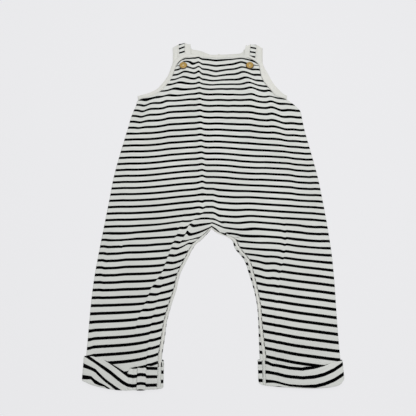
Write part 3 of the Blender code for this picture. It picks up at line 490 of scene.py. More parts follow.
def column(table, key_name, value_name, at):
    """Values of a named column at the keys in at, on a cubic through the rows."""
    keys = np.array([getattr(row, key_name) for row in table], float)
    values = np.array([getattr(row, value_name) for row in table], float)
    if keys[0] > keys[-1]:
        keys, values = keys[::-1], values[::-1]
    slopes = np.empty_like(values)
    slopes[1:-1] = (values[2:] - values[:-2]) / (keys[2:] - keys[:-2])
    slopes[0] = (values[1] - values[0]) / (keys[1] - keys[0])
    slopes[-1] = (values[-1] - values[-2]) / (keys[-1] - keys[-2])
    at = np.asarray(at, float)
    i = np.clip(np.searchsorted(keys, at, side="right") - 1, 0, len(keys) - 2)
    span = keys[i + 1] - keys[i]
    s = (at - keys[i]) / span
    inside = ((2 * s ** 3 - 3 * s ** 2 + 1) * values[i]
              + (s ** 3 - 2 * s ** 2 + s) * span * slopes[i]
              + (3 * s ** 2 - 2 * s ** 3) * values[i + 1]
              + (s ** 3 - s ** 2) * span * slopes[i + 1])
    below = values[0] + slopes[0] * (at - keys[0])
    above = values[-1] + slopes[-1] * (at - keys[-1])
    return np.where(s < 0, below, np.where(s > 1, above, inside))


def edge_point(table, stripe):
    return column(table, "stripe", "x", stripe), column(table, "stripe", "y", stripe)


def line_distance(x, y, start, end):
    """Distance from points to a straight stretch."""
    run_x, run_y = end.x - start.x, end.y - start.y
    share = ((x - start.x) * run_x + (y - start.y) * run_y) / (run_x ** 2 + run_y ** 2)
    share = np.clip(share, 0.0, 1.0)
    return np.hypot(x - start.x - share * run_x, y - start.y - share * run_y)


def steps_along(path):
    return np.linalg.norm(np.diff(path, axis=0), axis=1)


def lengths_along(path):
    """Length of a path from its start to each of its points."""
    return np.concatenate([[0], np.cumsum(steps_along(path))])


def path_length(path):
    return float(steps_along(path).sum())


def smooth_path(points, count):
    """Even points on a cubic through a path's points."""
    points = np.array(points, float)
    lengths = lengths_along(points)
    at = np.linspace(0.0, lengths[-1], count)
    axes = [[Station(a, value) for a, value in zip(lengths, axis)] for axis in points.T]
    return np.stack([column(axis, "at", "value", at) for axis in axes], axis=-1)


def offset_path(path, distance):
    """Path moved to its left in plan, by one distance or one for each point."""
    run = np.gradient(path, axis=0)
    left = np.stack([-run[:, 1], run[:, 0], np.zeros(len(path))], axis=-1)
    left /= np.linalg.norm(left, axis=1)[:, None]
    return path + left * np.reshape(distance, (-1, 1))


# ---------------------------------------------------------------- shape of the front

def along(folds, name, stripe):
    """A crease's value at a stripe, straight between its stations and level past them."""
    keys = [fold.stripe for fold in folds]
    return np.interp(stripe, keys, [getattr(fold, name) for fold in folds])


def creases_at(x, stripe, tables=((CREASES, 2), (SLACK, 4))):
    """Pull on the stripes and height that all creases give at points of a row."""
    pull, height = np.zeros_like(x), np.zeros_like(x)
    for creases, power in tables:
        for line in creases:
            first, last = line.folds[0].stripe, line.folds[-1].stripe
            if FIRST_ROW < first and stripe < first or last < LAST_STRIPE and stripe > last:
                continue
            away = x - along(line.folds, "x", stripe)
            width = np.where(away < 0, line.left, line.right)
            reach = np.exp(-np.abs(away / width) ** power)
            pull += along(line.folds, "pull", stripe) * reach
            height += along(line.folds, "height", stripe) * reach
    return pull, height


def inseam_distance(x, y, inseam):
    """Distance from points to the edge of the leg gap."""
    return np.min([line_distance(x, y, *span) for span in zip(inseam, inseam[1:])], axis=0)


def strap_lift(x, y):
    """Rise of the bib over the ends of the straps."""
    lift = np.zeros_like(x)
    for strips in (LEFT_STRIPS, RIGHT_STRIPS):
        lows = [strip.low_x for strip in strips]
        middle, half = (min(lows) + max(lows)) / 2, (max(lows) - min(lows)) / 2
        beside = smoothstep((half + STRAP_LIFT_MARGIN - np.abs(x - middle)) / STRAP_LIFT_FADE)
        up = smoothstep((y - STRAP_LIFT_START_Y) / STRAP_LIFT_RUN)
        lift = np.maximum(lift, STRAP_LIFT * beside * up)
    return lift


def front_top(x, y, stripe, seam):
    """Height of the outer face of the front cloth, seam mm from its nearest seam."""
    rise = smoothstep(seam / LOFT_FADE)
    rise *= fade(y, CUFF_BACK_TOP_Y, CUFF_BACK_TOP_Y + CUFF_FLAT_RUN)
    rise *= lerp(1.0, BIB_LOFT_SHARE, fade(y, BIB_FLAT_Y, BIB_FLAT_Y + BIB_FLAT_RUN))
    _, creases = creases_at(x, stripe)
    near = 1.0 - np.clip(seam / EDGE_ROLL, 0.0, 1.0)
    roll = (SEAM_TOP - WALL) * (1.0 - np.sqrt(1.0 - near ** 2))
    base = SEAM_TOP - roll + LAYER * fade(stripe, *CUFF_RISE_ROWS) + strap_lift(x, y)
    return base + rise * LOFT + creases * smoothstep(seam / CREASE_FADE)


def leg_rise_share(stripe, side, share):
    """How a leg's row climbs from the side seam (0) to the inseam (1)."""
    climb = LEG_CLIMBS[side]
    down = float(fade(stripe, *climb.rows))
    straight, power = lerp(*climb.straight, down), lerp(*climb.power, down)
    return straight * share + (1.0 - straight) * share ** power


def panel_row(stripe, side, shares, outer, inseam):
    """Points of a row of a panel, from the side seam (0) to the middle (1)."""
    outer_x, outer_y = edge_point(outer, stripe)
    inner_x, inner_y = edge_point(CENTRE if stripe <= APEX else inseam, stripe)
    x = lerp(outer_x, inner_x, shares)
    across = lerp(outer_y, inner_y, leg_rise_share(stripe, side, shares))
    if stripe >= APEX:
        return x, across
    ridge_y = column(RIDGE, "stripe", "y", stripe)

    def droop_y(at):
        share = (at - RIDGE_X) / (outer_x - RIDGE_X)
        return lerp(ridge_y, outer_y, smoothstep(share / LEFT_DROOP_SHARE) if side < 0 else share)

    droop = droop_y(x) + (inner_y - droop_y(inner_x)) * shares ** 2
    return x, lerp(droop, across, fade(stripe, FORK_ROW, APEX))


HALVES = (
    (-1, FRONT_LEFT_EDGE, LEFT_INSEAM, LEFT_CUFF),
    (1, FRONT_RIGHT_EDGE, RIGHT_INSEAM, RIGHT_CUFF),
)


# ---------------------------------------------------------------- meshes

def new_object(name, bm, finish):
    """Object of a bmesh, in the scene and with its material."""
    data = bpy.data.meshes.new(name)
    bm.to_mesh(data)
    bm.free()
    made = bpy.data.objects.new(name, data)
    bpy.context.scene.collection.objects.link(made)
    data.materials.append(finish)
    return made


def finished(name, bm, finish):
    """Piece of a closed bmesh that rides on the garment."""
    for face in bm.faces:
        face.smooth = True
    piece = new_object(name, bm, finish)
    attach(piece, "root")
    return piece


def grid_into(bm, points, uvs):
    """Add a grid whose vertices take the places of points[row, column]."""
    rows, columns = points.shape[0] - 1, points.shape[1] - 1
    u_layer = bm.verts.layers.float["u"]
    v_layer = bm.verts.layers.float["v"]
    made = bmesh.ops.create_grid(bm, x_segments=columns, y_segments=rows, size=1.0)
    for vertex in made["verts"]:
        column_index = round((vertex.co.x + 1.0) / 2.0 * columns)
        row_index = rows - round((vertex.co.y + 1.0) / 2.0 * rows)
        vertex[u_layer], vertex[v_layer] = uvs[row_index, column_index]
        vertex.co = Vector(points[row_index, column_index]) * MM


def cloth_piece(name, grids, finish, node, wall=WALL, inwards=True, faces_up=None):
    """Piece of cloth: grids joined where they meet, with a wall, in a node's place."""
    bm = bmesh.new()
    bm.verts.layers.float.new("u")
    bm.verts.layers.float.new("v")
    for points, uvs in grids:
        grid_into(bm, points, uvs)
    bmesh.ops.remove_doubles(bm, verts=bm.verts, dist=WELD * MM)
    bmesh.ops.recalc_face_normals(bm, faces=bm.faces)
    bm.faces.ensure_lookup_table()
    if faces_up is not None and (bm.faces[0].normal.z > 0) != faces_up:
        bmesh.ops.reverse_faces(bm, faces=bm.faces)
    u_layer, v_layer = bm.verts.layers.float["u"], bm.verts.layers.float["v"]
    uv = bm.loops.layers.uv.new("cloth")
    for face in bm.faces:
        face.smooth = True
        for loop in face.loops:
            loop[uv].uv = (loop.vert[u_layer], loop.vert[v_layer])
    bm.verts.layers.float.remove(bm.verts.layers.float["u"])
    bm.verts.layers.float.remove(bm.verts.layers.float["v"])
    piece = new_object(name, bm, finish)
    solidify = piece.modifiers.new("wall", "SOLIDIFY")
    solidify.thickness = wall * MM
    solidify.offset = -1.0 if inwards else 1.0
    solidify.use_even_offset = False
    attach(piece, "root")
    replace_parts(piece, node)
    return piece


# ---------------------------------------------------------------- materials

def linear(hex_colour):
    channels = [int(hex_colour[i:i + 2], 16) / 255 for i in (0, 2, 4)]
    bent = [c / 12.92 if c <= 0.04045 else ((c + 0.055) / 1.055) ** 2.4 for c in channels]
    return (*bent, 1.0)


def add_node(material, kind, inputs=None, **settings):
    """Add a node.  Each of its inputs is another node's output or a constant."""
    tree = material.node_tree
    node = tree.nodes.new(kind)
    for key, value in settings.items():
        setattr(node, key, value)
    for key, value in (inputs or {}).items():
        if isinstance(value, bpy.types.NodeSocket):
            tree.links.new(value, node.inputs[key])
        else:
            node.inputs[key].default_value = value
    return node


def calculate(material, operation, *terms):
    inputs = dict(enumerate(terms))
    return add_node(material, "ShaderNodeMath", inputs, operation=operation).outputs[0]


def ramp(material, value, start, end, at_start, at_end):
    """Goes from at_start to at_end while value goes from start to end."""
    inputs = dict(enumerate((value, start, end, at_start, at_end)))
    return add_node(material, "ShaderNodeMapRange", inputs).outputs[0]


def blend(material, share, first, second):
    """Mix of two colours, each a socket or a hex colour."""
    first, second = (linear(c) if isinstance(c, str) else c for c in (first, second))
    inputs = {0: share, 6: first, 7: second}
    return add_node(material, "ShaderNodeMix", inputs, data_type="RGBA").outputs[2]


def noise(material, place, scale, detail, distortion=0.0):
    inputs = {"Vector": place, "Scale": scale, "Detail": detail, "Distortion": distortion}
    return add_node(material, "ShaderNodeTexNoise", inputs).outputs[0]


def object_place(material):
    return add_node(material, "ShaderNodeTexCoord").outputs["Object"]


def new_material(name, constants):
    """Node material with its shader and output; returns it and the shader."""
    material = bpy.data.materials.new(name)
    material.use_nodes = True
    material.node_tree.nodes.clear()
    shader = add_node(material, "ShaderNodeBsdfPrincipled", constants)
    add_node(material, "ShaderNodeOutputMaterial", {"Surface": shader.outputs[0]})
    return material, shader


def add_bump(material, shader, height, strength, distance):
    inputs = {"Height": height, "Strength": strength, "Distance": distance}
    bump = add_node(material, "ShaderNodeBump", inputs)
    material.node_tree.links.new(bump.outputs[0], shader.inputs["Normal"])


def jersey(name, striped, white):
    """Combed cotton jersey: matt, soft, with fine ribs; black yarn in the stripes."""
    material, shader = new_material(name, {"Roughness": 0.92, "Specular IOR Level": 0.02})
    uv = add_node(material, "ShaderNodeUVMap", uv_map="cloth").outputs[0]
    split = add_node(material, "ShaderNodeSeparateXYZ", {0: uv})
    place = object_place(material)
    # ribs of the knit run along the garment, WALE apart
    turns = calculate(material, "MULTIPLY", split.outputs[0], 2.0 * math.pi * PITCH / WALE)
    ribs = calculate(material, "SINE", turns)
    slub = noise(material, place, 900.0, 2.0)
    soft = noise(material, place, 14.0, 3.0)
    # uneven yarn: faint streaks along the courses, some 30 mm long and 1 to 2 mm high
    courses = add_node(material, "ShaderNodeMapping", {0: uv, 3: (0.4, 7.0, 1.0)})
    streak = noise(material, courses.outputs[0], 1.0, 3.0)
    tone = calculate(material, "MULTIPLY_ADD", streak, 0.9, soft)
    tone = ramp(material, tone, 0.65, 1.25, 0.0, 1.0)
    colour = blend(material, tone, JERSEY_SHADE, white)
    if striped:
        # distance from the nearest whole stripe number, with a knitted edge
        wobble = calculate(material, "MULTIPLY_ADD", slub, 0.05, split.outputs[1])
        centred = calculate(material, "ADD", wobble, 0.5 - 0.025)
        part = calculate(material, "FRACT", centred)
        away = calculate(material, "ABSOLUTE", calculate(material, "SUBTRACT", part, 0.5))
        half = STRIPE_WIDTH / PITCH / 2.0
        ink = ramp(material, away, half - 0.012, half + 0.012, 1.0, 0.0)
        colour = blend(material, ink, colour, YARN_BLACK)
    material.node_tree.links.new(colour, shader.inputs["Base Color"])
    knit = calculate(material, "MULTIPLY_ADD", slub, 0.8, ribs)
    add_bump(material, shader, knit, 0.22, 0.00025)
    return material


def turned_wood(name, button):
    """Turned and lacquered olive wood: golden, with a groove darkened by stain and painted shade,
    and painted shade on the rim's outer side.
    """
    material, shader = new_material(name, {"Roughness": 0.38, "Coat Weight": 0.3,
                                           "Coat Roughness": 0.25})
    middle = (-button.x * MM, -button.y * MM, 0.0)
    centred = add_node(material, "ShaderNodeMapping", {0: object_place(material), 1: middle})
    grain = noise(material, centred.outputs[0], 700.0, 4.0, 1.2)
    flat = add_node(material, "ShaderNodeVectorMath",
                    {0: centred.outputs[0], 1: (1.0, 1.0, 0.0)}, operation="MULTIPLY")
    radius = add_node(material, "ShaderNodeVectorMath", {0: flat.outputs[0]},
                      operation="LENGTH").outputs["Value"]
    # the groove's darkening: partly the wood's own stain, partly painted shade in the recess
    off_groove = calculate(material, "SUBTRACT", radius, GROOVE_RADIUS * MM)
    off_groove = calculate(material, "ABSOLUTE", off_groove)
    groove_stain_and_shade = ramp(material, off_groove, 0.0002, 0.0009, 0.4, 0.0)
    # painted shade on the rim's outer side, which turns away from the light
    rim_shade = ramp(material, radius, RIM_SHADE_RADIUS * MM, (RIM_SHADE_RADIUS + RIM_SHADE_FADE) * MM, 0.0, 1.0)
    # stain and painted shade together, whichever is darker at each point
    stain_and_shade = calculate(material, "MAXIMUM", groove_stain_and_shade, rim_shade)
    colour = blend(material, stain_and_shade, blend(material, grain, *WOOD), WOOD_STAIN_AND_SHADE)
    material.node_tree.links.new(colour, shader.inputs["Base Color"])
    add_bump(material, shader, grain, 0.2, 0.0001)
    return material


def cotton_thread(name):
    """Twisted cotton sewing thread: matt, a shade whiter than the rib, with its twist."""
    material, shader = new_material(name, {"Roughness": 0.8, "Specular IOR Level": 0.1})
    inputs = {"Vector": object_place(material), "Scale": 900.0, "Distortion": 1.0}
    twist = add_node(material, "ShaderNodeTexWave", inputs, bands_direction="DIAGONAL")
    colour = blend(material, twist.outputs["Fac"], *COTTON)
    material.node_tree.links.new(colour, shader.inputs["Base Color"])
    return material


STRIPED_JERSEY = jersey("combed_cotton_jersey_striped", True, JERSEY_WHITE)
CREAM_RIB = jersey("cotton_rib_binding_cream", False, RIB_WHITE)
THREAD = cotton_thread("cotton_thread_cream")


# ---------------------------------------------------------------- panels

def row_places(outer_x, knots, inner_x, counts):
    """x of a row's points: close in the rolled edge and at each knot, even between them."""
    side = math.copysign(1.0, inner_x - outer_x)
    rolled = outer_x + side * np.array(ROLL_PLACES)
    stops = [outer_x + side * ROLL_END]
    for knot in knots:
        stops += [knot - side * KNOT_HALF, knot + side * KNOT_HALF]
    stops.append(inner_x)
    places = [rolled]
    for k, count in enumerate(counts):
        places.append(np.linspace(stops[2 * k], stops[2 * k + 1], count + 1))
    return np.concatenate(places)


def leg_end_y(cuff_table, x):
    inside = np.clip(x, cuff_table[0].x, cuff_table[-1].x)
    return column(cuff_table, "x", "bottom_y", inside) + LEG_END_RISE


def front_grid(half, rows, knot_lines, counts):
    side, outer, inseam, cuff_table = half
    points, uvs = [], []
    for stripe in rows:
        on_leg = min(stripe, LAST_STRIPE)
        outer_x, _ = edge_point(outer, on_leg)
        inner_x, _ = edge_point(CENTRE if stripe <= APEX else inseam, on_leg)
        knots = [float(along(line, "x", stripe)) for line in knot_lines]
        places = row_places(float(outer_x), knots, float(inner_x), counts)
        shares = (places - outer_x) / (inner_x - outer_x)
        x, y = panel_row(on_leg, side, shares, outer, inseam)
        below = 0.0
        if stripe > LAST_STRIPE:
            end_y = lerp(y, leg_end_y(cuff_table, x), stripe - LAST_STRIPE)
            below, y = (y - end_y) / PITCH, end_y
            if side < 0:
                below = below * (1.0 - HIDDEN_SLACK * fade(x, *HIDDEN_SLACK_X))
        seam = np.minimum(np.abs(x - outer_x), inseam_distance(x, y, inseam))
        pull, _ = creases_at(x, on_leg)
        points.append(stack(x, y, front_top(x, y, stripe, seam)))
        uvs.append(stack(x / PITCH, on_leg + below + pull / PITCH))
    return np.array(points), np.array(uvs)


def panel_rows(first, body, fork, legs, inside_cuff):
    """Rows from first down: how many on the body, fork and legs, and shares in the cuff."""
    return np.concatenate([np.linspace(first, APEX, body), np.linspace(APEX, FORK_END, fork)[1:],
                           np.linspace(FORK_END, LAST_STRIPE, legs)[1:],
                           LAST_STRIPE + np.array(inside_cuff)])


def front_panel():
    left, right = HALVES
    rows = panel_rows(FIRST_ROW, 122, 8, 62, (0.15, 0.3, 0.5, 0.75, 1.0))
    grids = [front_grid(left, rows, (LEFT_OUTER_KNOT, LEFT_INNER_KNOT), (56, 16, 20)),
             front_grid(right, rows, (RIGHT_KNOT,), (40, 52))]
    piece = cloth_piece("front_cloth", grids, STRIPED_JERSEY, "front_panel",
                        faces_up=True)


def strap_x(strip, y):
    share = (y - STRAP_LEVEL_Y) / (strip.fold_y - STRAP_LEVEL_Y)
    return lerp(strip.low_x, strip.top_x, float(np.clip(share, 0.0, 1.0)))


def neck_edge_y(x):
    xs = [rail.inner_x for rail in BACK_NECK]
    ys = [rail.inner_y for rail in BACK_NECK]
    return np.where((x > xs[0]) & (x < xs[-1]), np.interp(x, xs, ys), STRAP_SEAM_Y) - BACK_NECK_GAP


def back_bib_rows(side, shares):
    """Rows of the back from the straps' seams to the underarm, each with its UVs."""
    rails, strips = ((BACK_LEFT_ARMHOLE, LEFT_STRIPS) if side < 0
                     else (BACK_RIGHT_ARMHOLE, RIGHT_STRIPS))
    armhole = [(rail.inner_x, rail.inner_y) for rail in rails]
    armhole.append((strap_x(strips[1], STRAP_SEAM_Y), STRAP_SEAM_Y))
    armhole = np.array(armhole[::-1])
    last = len(armhole) - 1
    for step in np.linspace(0, last, 41):
        outer_x, outer_y = (np.interp(step, range(last + 1), axis) for axis in armhole.T)
        stripe = UNDERARM * step / last
        inner_x, inner_y = edge_point(CENTRE, stripe)
        x = lerp(outer_x, inner_x, shares)
        y = lerp(outer_y, inner_y, smoothstep(shares / BACK_RISE_SHARE))
        if step < BACK_NECK_ROWS:
            y = lerp(neck_edge_y(x), y, step / BACK_NECK_ROWS)
        number = lerp(column(CENTRE, "y", "stripe", y), stripe, fade(stripe, *BACK_JOIN_ROWS))
        yield stack(x, y, WALL), stack(x / PITCH, number + BACK_SHIFT)


def back_body_rows(half, shares):
    """Rows of the back from the underarm to the cuffs, each with its UVs."""
    side, outer, inseam, cuff_table = half
    for stripe in panel_rows(UNDERARM + 0.5, 60, 6, 46, (0.5, 1.0)):
        on_leg = min(stripe, LAST_STRIPE)
        outer_x, outer_y = edge_point(outer, on_leg)
        outer_x = outer_x - side * BACK_INSET
        outer_y = outer_y - BACK_SIDE_DROP * fade(stripe, *BACK_SIDE_ROWS)
        if stripe <= APEX:
            inner_x, inner_y = edge_point(CENTRE, stripe)
            inner_y = inner_y - BACK_CROTCH_DROP * fade(stripe, *ABOVE_CROTCH_ROWS)
        else:
            inner_x, inner_y = edge_point(inseam, on_leg)
            inner_y = inner_y - BACK_CROTCH_DROP * fade(stripe, *BELOW_CROTCH_ROWS)
            inner_x = inner_x - side * column(inseam, "stripe", "back_margin", on_leg)
        x = lerp(outer_x, inner_x, shares)
        straight = fade(stripe, *BACK_STRAIGHT_ROWS)
        y = lerp(outer_y, inner_y, lerp(np.sin(shares * math.pi / 2), shares, straight))
        if stripe > LAST_STRIPE:
            y = lerp(y, leg_end_y(cuff_table, x), stripe - LAST_STRIPE)
        pull, trough = creases_at(x, stripe, ((BACK_CREASES, 2),))
        trough = (np.minimum(trough, BACK_TROUGH) * smoothstep(shares / BACK_EDGE_SHARE)
                  * smoothstep((1.0 - shares) / BACK_EDGE_SHARE))
        yield (stack(x, y, WALL + trough + LAYER * fade(stripe, *CUFF_RISE_ROWS)),
               stack(x / PITCH, stripe + BACK_SHIFT + pull / PITCH))


def back_panel():
    shares = np.linspace(0.0, 1.0, 45)
    grids = []
    for half in HALVES:
        rows = [*back_bib_rows(half[0], shares), *back_body_rows(half, shares)]
        points, uvs = zip(*rows)
        grids.append((np.array(points), np.array(uvs)))
    piece = cloth_piece("back_cloth", grids, STRIPED_JERSEY, "back_panel",
                        faces_up=True)


# ---------------------------------------------------------------- stitches

def stitch_into(bm, place, run, length, width, height):
    """One stitch: a bead of thread laid along run."""
    turn = math.atan2(run[1], run[0])
    tilt = math.atan2(run[2], math.hypot(run[0], run[1]))
    matrix = (Matrix.Translation(Vector(place) * MM) @ Matrix.Rotation(turn, 4, "Z")
              @ Matrix.Rotation(-tilt, 4, "Y")
              @ Matrix.Diagonal((length * MM / 2, width * MM / 2, height * MM / 2, 1.0)))
    bmesh.ops.create_uvsphere(bm, u_segments=6, v_segments=4, radius=1.0, matrix=matrix)


def stitch_rows(name, paths):
    """Rows of stitches along paths that lie on the cloth, as one piece of thread."""
    bm = bmesh.new()
    for path in paths:
        count = max(2, int(path_length(path) / STITCH_PITCH))
        places = smooth_path(path, count)
        runs = np.gradient(places, axis=0)
        for first in range(0, count, STITCHES_AT_ONCE):
            part = bmesh.new()
            for k in range(first, min(first + STITCHES_AT_ONCE, count)):
                if abs(runs[k][2]) > STEEPEST_STITCH * np.linalg.norm(runs[k]):
                    continue
                stitch_into(part, places[k], runs[k], STITCH_LENGTH, STITCH_WIDTH, STITCH_HEIGHT)
            data = bpy.data.meshes.new("part")
            part.to_mesh(data)
            part.free()
            bm.from_mesh(data)
            bpy.data.meshes.remove(data)
    return finished(name, bm, THREAD)


# ---------------------------------------------------------------- bindings and straps

def binding(name, node, rails, width, depth, across, stitched):
    """Folded strip between a near and a far rail, hollow, with rounded edges.

    It is across faces wide, and its columns named in stitched carry stitches.
    """
    near, far = rails
    shares = (1.0 - np.cos(np.linspace(0.0, math.pi, across + 1))) / 2.0
    loop = np.concatenate([shares, shares[::-1][1:]])
    up = np.concatenate([np.ones(across), [0.0], -np.ones(across)])
    swell = up * np.abs(np.sin(math.pi * loop)) ** 0.5 * depth / 2.0
    s = loop[None, :, None]
    points = near[:, None, :] * (1.0 - s) + far[:, None, :] * s
    points[..., 2] += swell[None, :]
    run = lengths_along((near + far) / 2)
    uvs = stack(loop[None, :] * width / PITCH, run[:, None] / PITCH)
    piece = cloth_piece(name, [(points, uvs)], CREAM_RIB, node, wall=RIB_WALL)
    rows = [points[:, k] + (0.0, 0.0, STITCH_LIFT) for k in stitched]
    return piece, stitch_rows(name + "_stitches", rows)


def front_edge(stripe, side, share):
    """Point on top of the front's edge."""
    _, outer, inseam, _ = HALVES[side > 0]
    x, y = panel_row(stripe, side, np.array([share]), outer, inseam)
    top = SEAM_TOP + strap_lift(x, y) + LAYER * fade(np.array([stripe]), *CUFF_RISE_ROWS)
    return float(x[0]), float(y[0]), float(top[0])


def front_binding():
    arm_rows = np.linspace(UNDERARM, FIRST_ROW, 40)
    neck_shares = np.linspace(0.0, 1.0, 24)
    path = [front_edge(row, -1, 0.0) for row in arm_rows]
    path += [front_edge(FIRST_ROW, -1, share) for share in neck_shares[1:]]
    path += [front_edge(FIRST_ROW, 1, share) for share in neck_shares[::-1][1:]]
    path += [front_edge(row, 1, 0.0) for row in arm_rows[::-1][1:]]
    path = smooth_path(path, 220)
    near = offset_path(path, BINDING_BITE)
    near[:, 2] -= BINDING_DROP
    x, y = path[:, 0], path[:, 1]
    middle, half = NECK_SLACK_X
    slack = fade(y, *NECK_SLACK_Y) * np.exp(-((x - middle) / half) ** 4)
    wider = fade(y, *CORNER_Y) * sum(
        gain * bell(x, place, CORNER_REACH) for place, gain in (LEFT_CORNER, RIGHT_CORNER))
    far = offset_path(path, BINDING_WIDTH - NECK_SLACK * slack + wider)
    far[:, 2] = (BINDING_DEPTH / 2 + BINDING_RISE + strap_lift(far[:, 0], far[:, 1])
                 + NECK_SLACK_RISE * slack)
    piece, thread = binding("bib_binding", "front_binding", (near, far), BINDING_WIDTH,
                            BINDING_DEPTH, 8, (2, 6))
    path_length(path) * MM


def inseam_band():
    path = [front_edge(row, -1, 1.0) for row in np.linspace(LAST_STRIPE, FORK_END, 60)]
    path += [front_edge(row, -1, 1.0) for row in np.linspace(FORK_END, APEX, 8)[1:]]
    path += [front_edge(row, 1, 1.0) for row in np.linspace(APEX, FORK_END, 12)[1:]]
    path += [front_edge(row, 1, 1.0) for row in np.linspace(FORK_END, LAST_STRIPE, 60)[1:]]
    starts, ends = [(x, TAPE_END_Y, z - TAPE_END_DROP) for x, _, z in (path[0], path[-1])]
    path = smooth_path([starts, *path, ends], 300)
    apex = np.array([CENTRE[-1].x, CENTRE[-1].y])
    grown = smoothstep(np.linalg.norm(path[:, :2] - apex, axis=1) / BAND_GROWTH)
    rails = (offset_path(path, -BAND_BITE),
             offset_path(path, -lerp(BAND_WIDTH_AT_APEX, BAND_WIDTH, grown)))
    for rail, drop in zip(rails, BAND_DROPS):
        rail[:, 2] -= drop
    piece, thread = binding("inseam_tape", "inseam_band", rails, BAND_WIDTH, BAND_DEPTH, 5, (1,))
    length = path_length(path) * MM


def strap_rail(strip, lower_y=None):
    """Outer face of a strip's edge, from the back over the fold to its end."""
    points = [(strap_x(strip, lower_y), lower_y, LAYER)] if lower_y else []
    for station in STRAP_FOLD:
        y = strip.fold_y - station.below
        points.append((strap_x(strip, y), y, station.height))
    return points + [(strap_x(strip, y), y, LAYER) for y in STRAP_FRONT_Y]


def ribbon(name, outer, inner, finish, node, width, count, faces_up=False, stripe_at=None):
    """Strip between two rails of a path that folds over, wall on its outer side."""
    outer, inner = smooth_path(outer, count), smooth_path(inner, count)
    shares = np.linspace(0.0, 1.0, 9)
    s = shares[None, :, None]
    points = outer[:, None, :] * (1.0 - s) + inner[:, None, :] * s
    run = lengths_along((outer + inner) / 2)[:, None]
    v = stripe_at(run, shares[None, :]) if stripe_at else run / PITCH
    uvs = stack(shares[None, :] * width / PITCH, v)
    return cloth_piece(name, [(points, uvs)], finish, node, inwards=False,
                       faces_up=faces_up)


def ribbon_rows(outer, inner, up_first, count=200):
    """Two rows for stitches on each face of a ribbon."""
    outer, inner = smooth_path(outer, count), smooth_path(inner, count)
    across = inner - outer
    normal = np.cross(np.gradient((outer + inner) / 2, axis=0), across)
    normal /= np.linalg.norm(normal, axis=1)[:, None]
    if (normal[0, 2] > 0) != up_first:
        normal = -normal
    rows = []
    for share in RIBBON_STITCHES:
        line = outer + across * share
        rows += [line + normal * (WALL - STITCH_SINK), line - normal * STITCH_SINK]
    return rows


def strap(node, strips, side):
    """The striped middle of a strap."""
    outer, inner = (strap_rail(strip, STRAP_SEAM_Y) for strip in strips[1:3])
    length = path_length(np.array(outer))

    def stripe_at(run, shares):
        y_on_front = STRAP_FRONT_Y[-1] + length - run
        along_strap = (y_on_front - STRAP_STRIPE_START[side]) / STRAP_STRIPE_SPACING
        return along_strap + STRAP_LEAN * (shares - 0.5)

    piece = ribbon(node + "_cloth", outer, inner, STRIPED_JERSEY, node,
                   STRAP_MIDDLE_WIDTH, 60, stripe_at=stripe_at)


def back_binding(node, outer, inner, count, faces_up):
    """Binding of the back and of a strap's edges: a ribbon of rib with its stitches."""
    piece = ribbon(node + "_rib", outer, inner, CREAM_RIB, node,
                   RIBBON_WIDTH, count, faces_up=faces_up)
    thread = stitch_rows(node + "_stitches", ribbon_rows(outer, inner, faces_up))
    path_length(np.array(outer)) * MM


def armhole_binding(node, rails, strips):
    outer = [(rail.outer_x, rail.outer_y, LAYER) for rail in rails]
    inner = [(rail.inner_x, rail.inner_y, LAYER) for rail in rails]
    back_binding(node, outer + strap_rail(strips[0], STRAP_SEAM_Y),
                 inner + strap_rail(strips[1], STRAP_SEAM_Y), 140, False)


def neck_binding():
    outer = [(rail.outer_x, rail.outer_y, LAYER) for rail in BACK_NECK]
    inner = [(rail.inner_x, rail.inner_y, LAYER) for rail in BACK_NECK]
    back_binding("neck_binding",
                 strap_rail(LEFT_STRIPS[3])[::-1] + outer + strap_rail(RIGHT_STRIPS[3]),
                 strap_rail(LEFT_STRIPS[2])[::-1] + inner + strap_rail(RIGHT_STRIPS[2]), 200, True)


# ---------------------------------------------------------------- cuffs

def cuff_stripe(stripes, x, y):
    """Stripe number at a point of the cuff's front: straight between its stripes."""
    keys = [row.x for row in stripes]
    heights = [np.interp(x, keys, [row[k] for row in stripes]) for k in range(1, 5)]
    number = (heights[0] - y) / (heights[0] - heights[1])
    for k in (1, 2):
        part = (heights[k] - y) / (heights[k] - heights[k + 1])
        number = np.where(part > 0.0, k + part, number)
    return number


def cuff_ring(low_x, high_x, knots, radius):
    """Ring round the flattened cuff: x, how far up it is, and its push sideways."""
    flat_low, flat_high = low_x + radius, high_x - radius
    marks = list(np.linspace(flat_low, flat_high, 61))
    for knot in knots:
        marks += [knot + away for away in CUFF_KNOT_PLACES]
    flat = np.array(sorted(mark for mark in marks if flat_low <= mark <= flat_high))
    bend = np.linspace(-math.pi / 2, math.pi / 2, 11)[1:-1]
    back = stack(flat, -1.0, 0.0)
    high_side = stack(np.full(len(bend), flat_high), np.sin(bend), np.cos(bend))
    front = stack(flat[::-1], 1.0, 0.0)
    low_side = stack(np.full(len(bend), flat_low), np.sin(bend[::-1]), -np.cos(bend))
    return np.concatenate([back, high_side, front, low_side, back[:1]])


def cuff_relief(x, seam, tucks, pleat, deep):
    """Height that the seam, tucks and pleat add to the cuff's front."""
    lines = [(line, CUFF_SEAM_DEPTH * deep, CUFF_LINE_REACH) for line in seam]
    lines += [(line, CUFF_TUCK_DEPTH * deep, CUFF_LINE_REACH) for line in tucks]
    relief = np.zeros_like(x)
    if pleat:
        low, high = pleat
        lines += [(line, PLEAT_LINE_DEPTH, PLEAT_LINE_REACH)
                  for line in (low - PLEAT_LINE_AWAY, high + PLEAT_LINE_AWAY)]
        relief += (PLEAT_RISE * fade(x, low - PLEAT_SLOPE, low + PLEAT_SLOPE)
                   * fade(x, high + PLEAT_SLOPE, high - PLEAT_SLOPE))
    for line, depth, reach in lines:
        relief -= depth * bell(x, line, reach)
    return relief


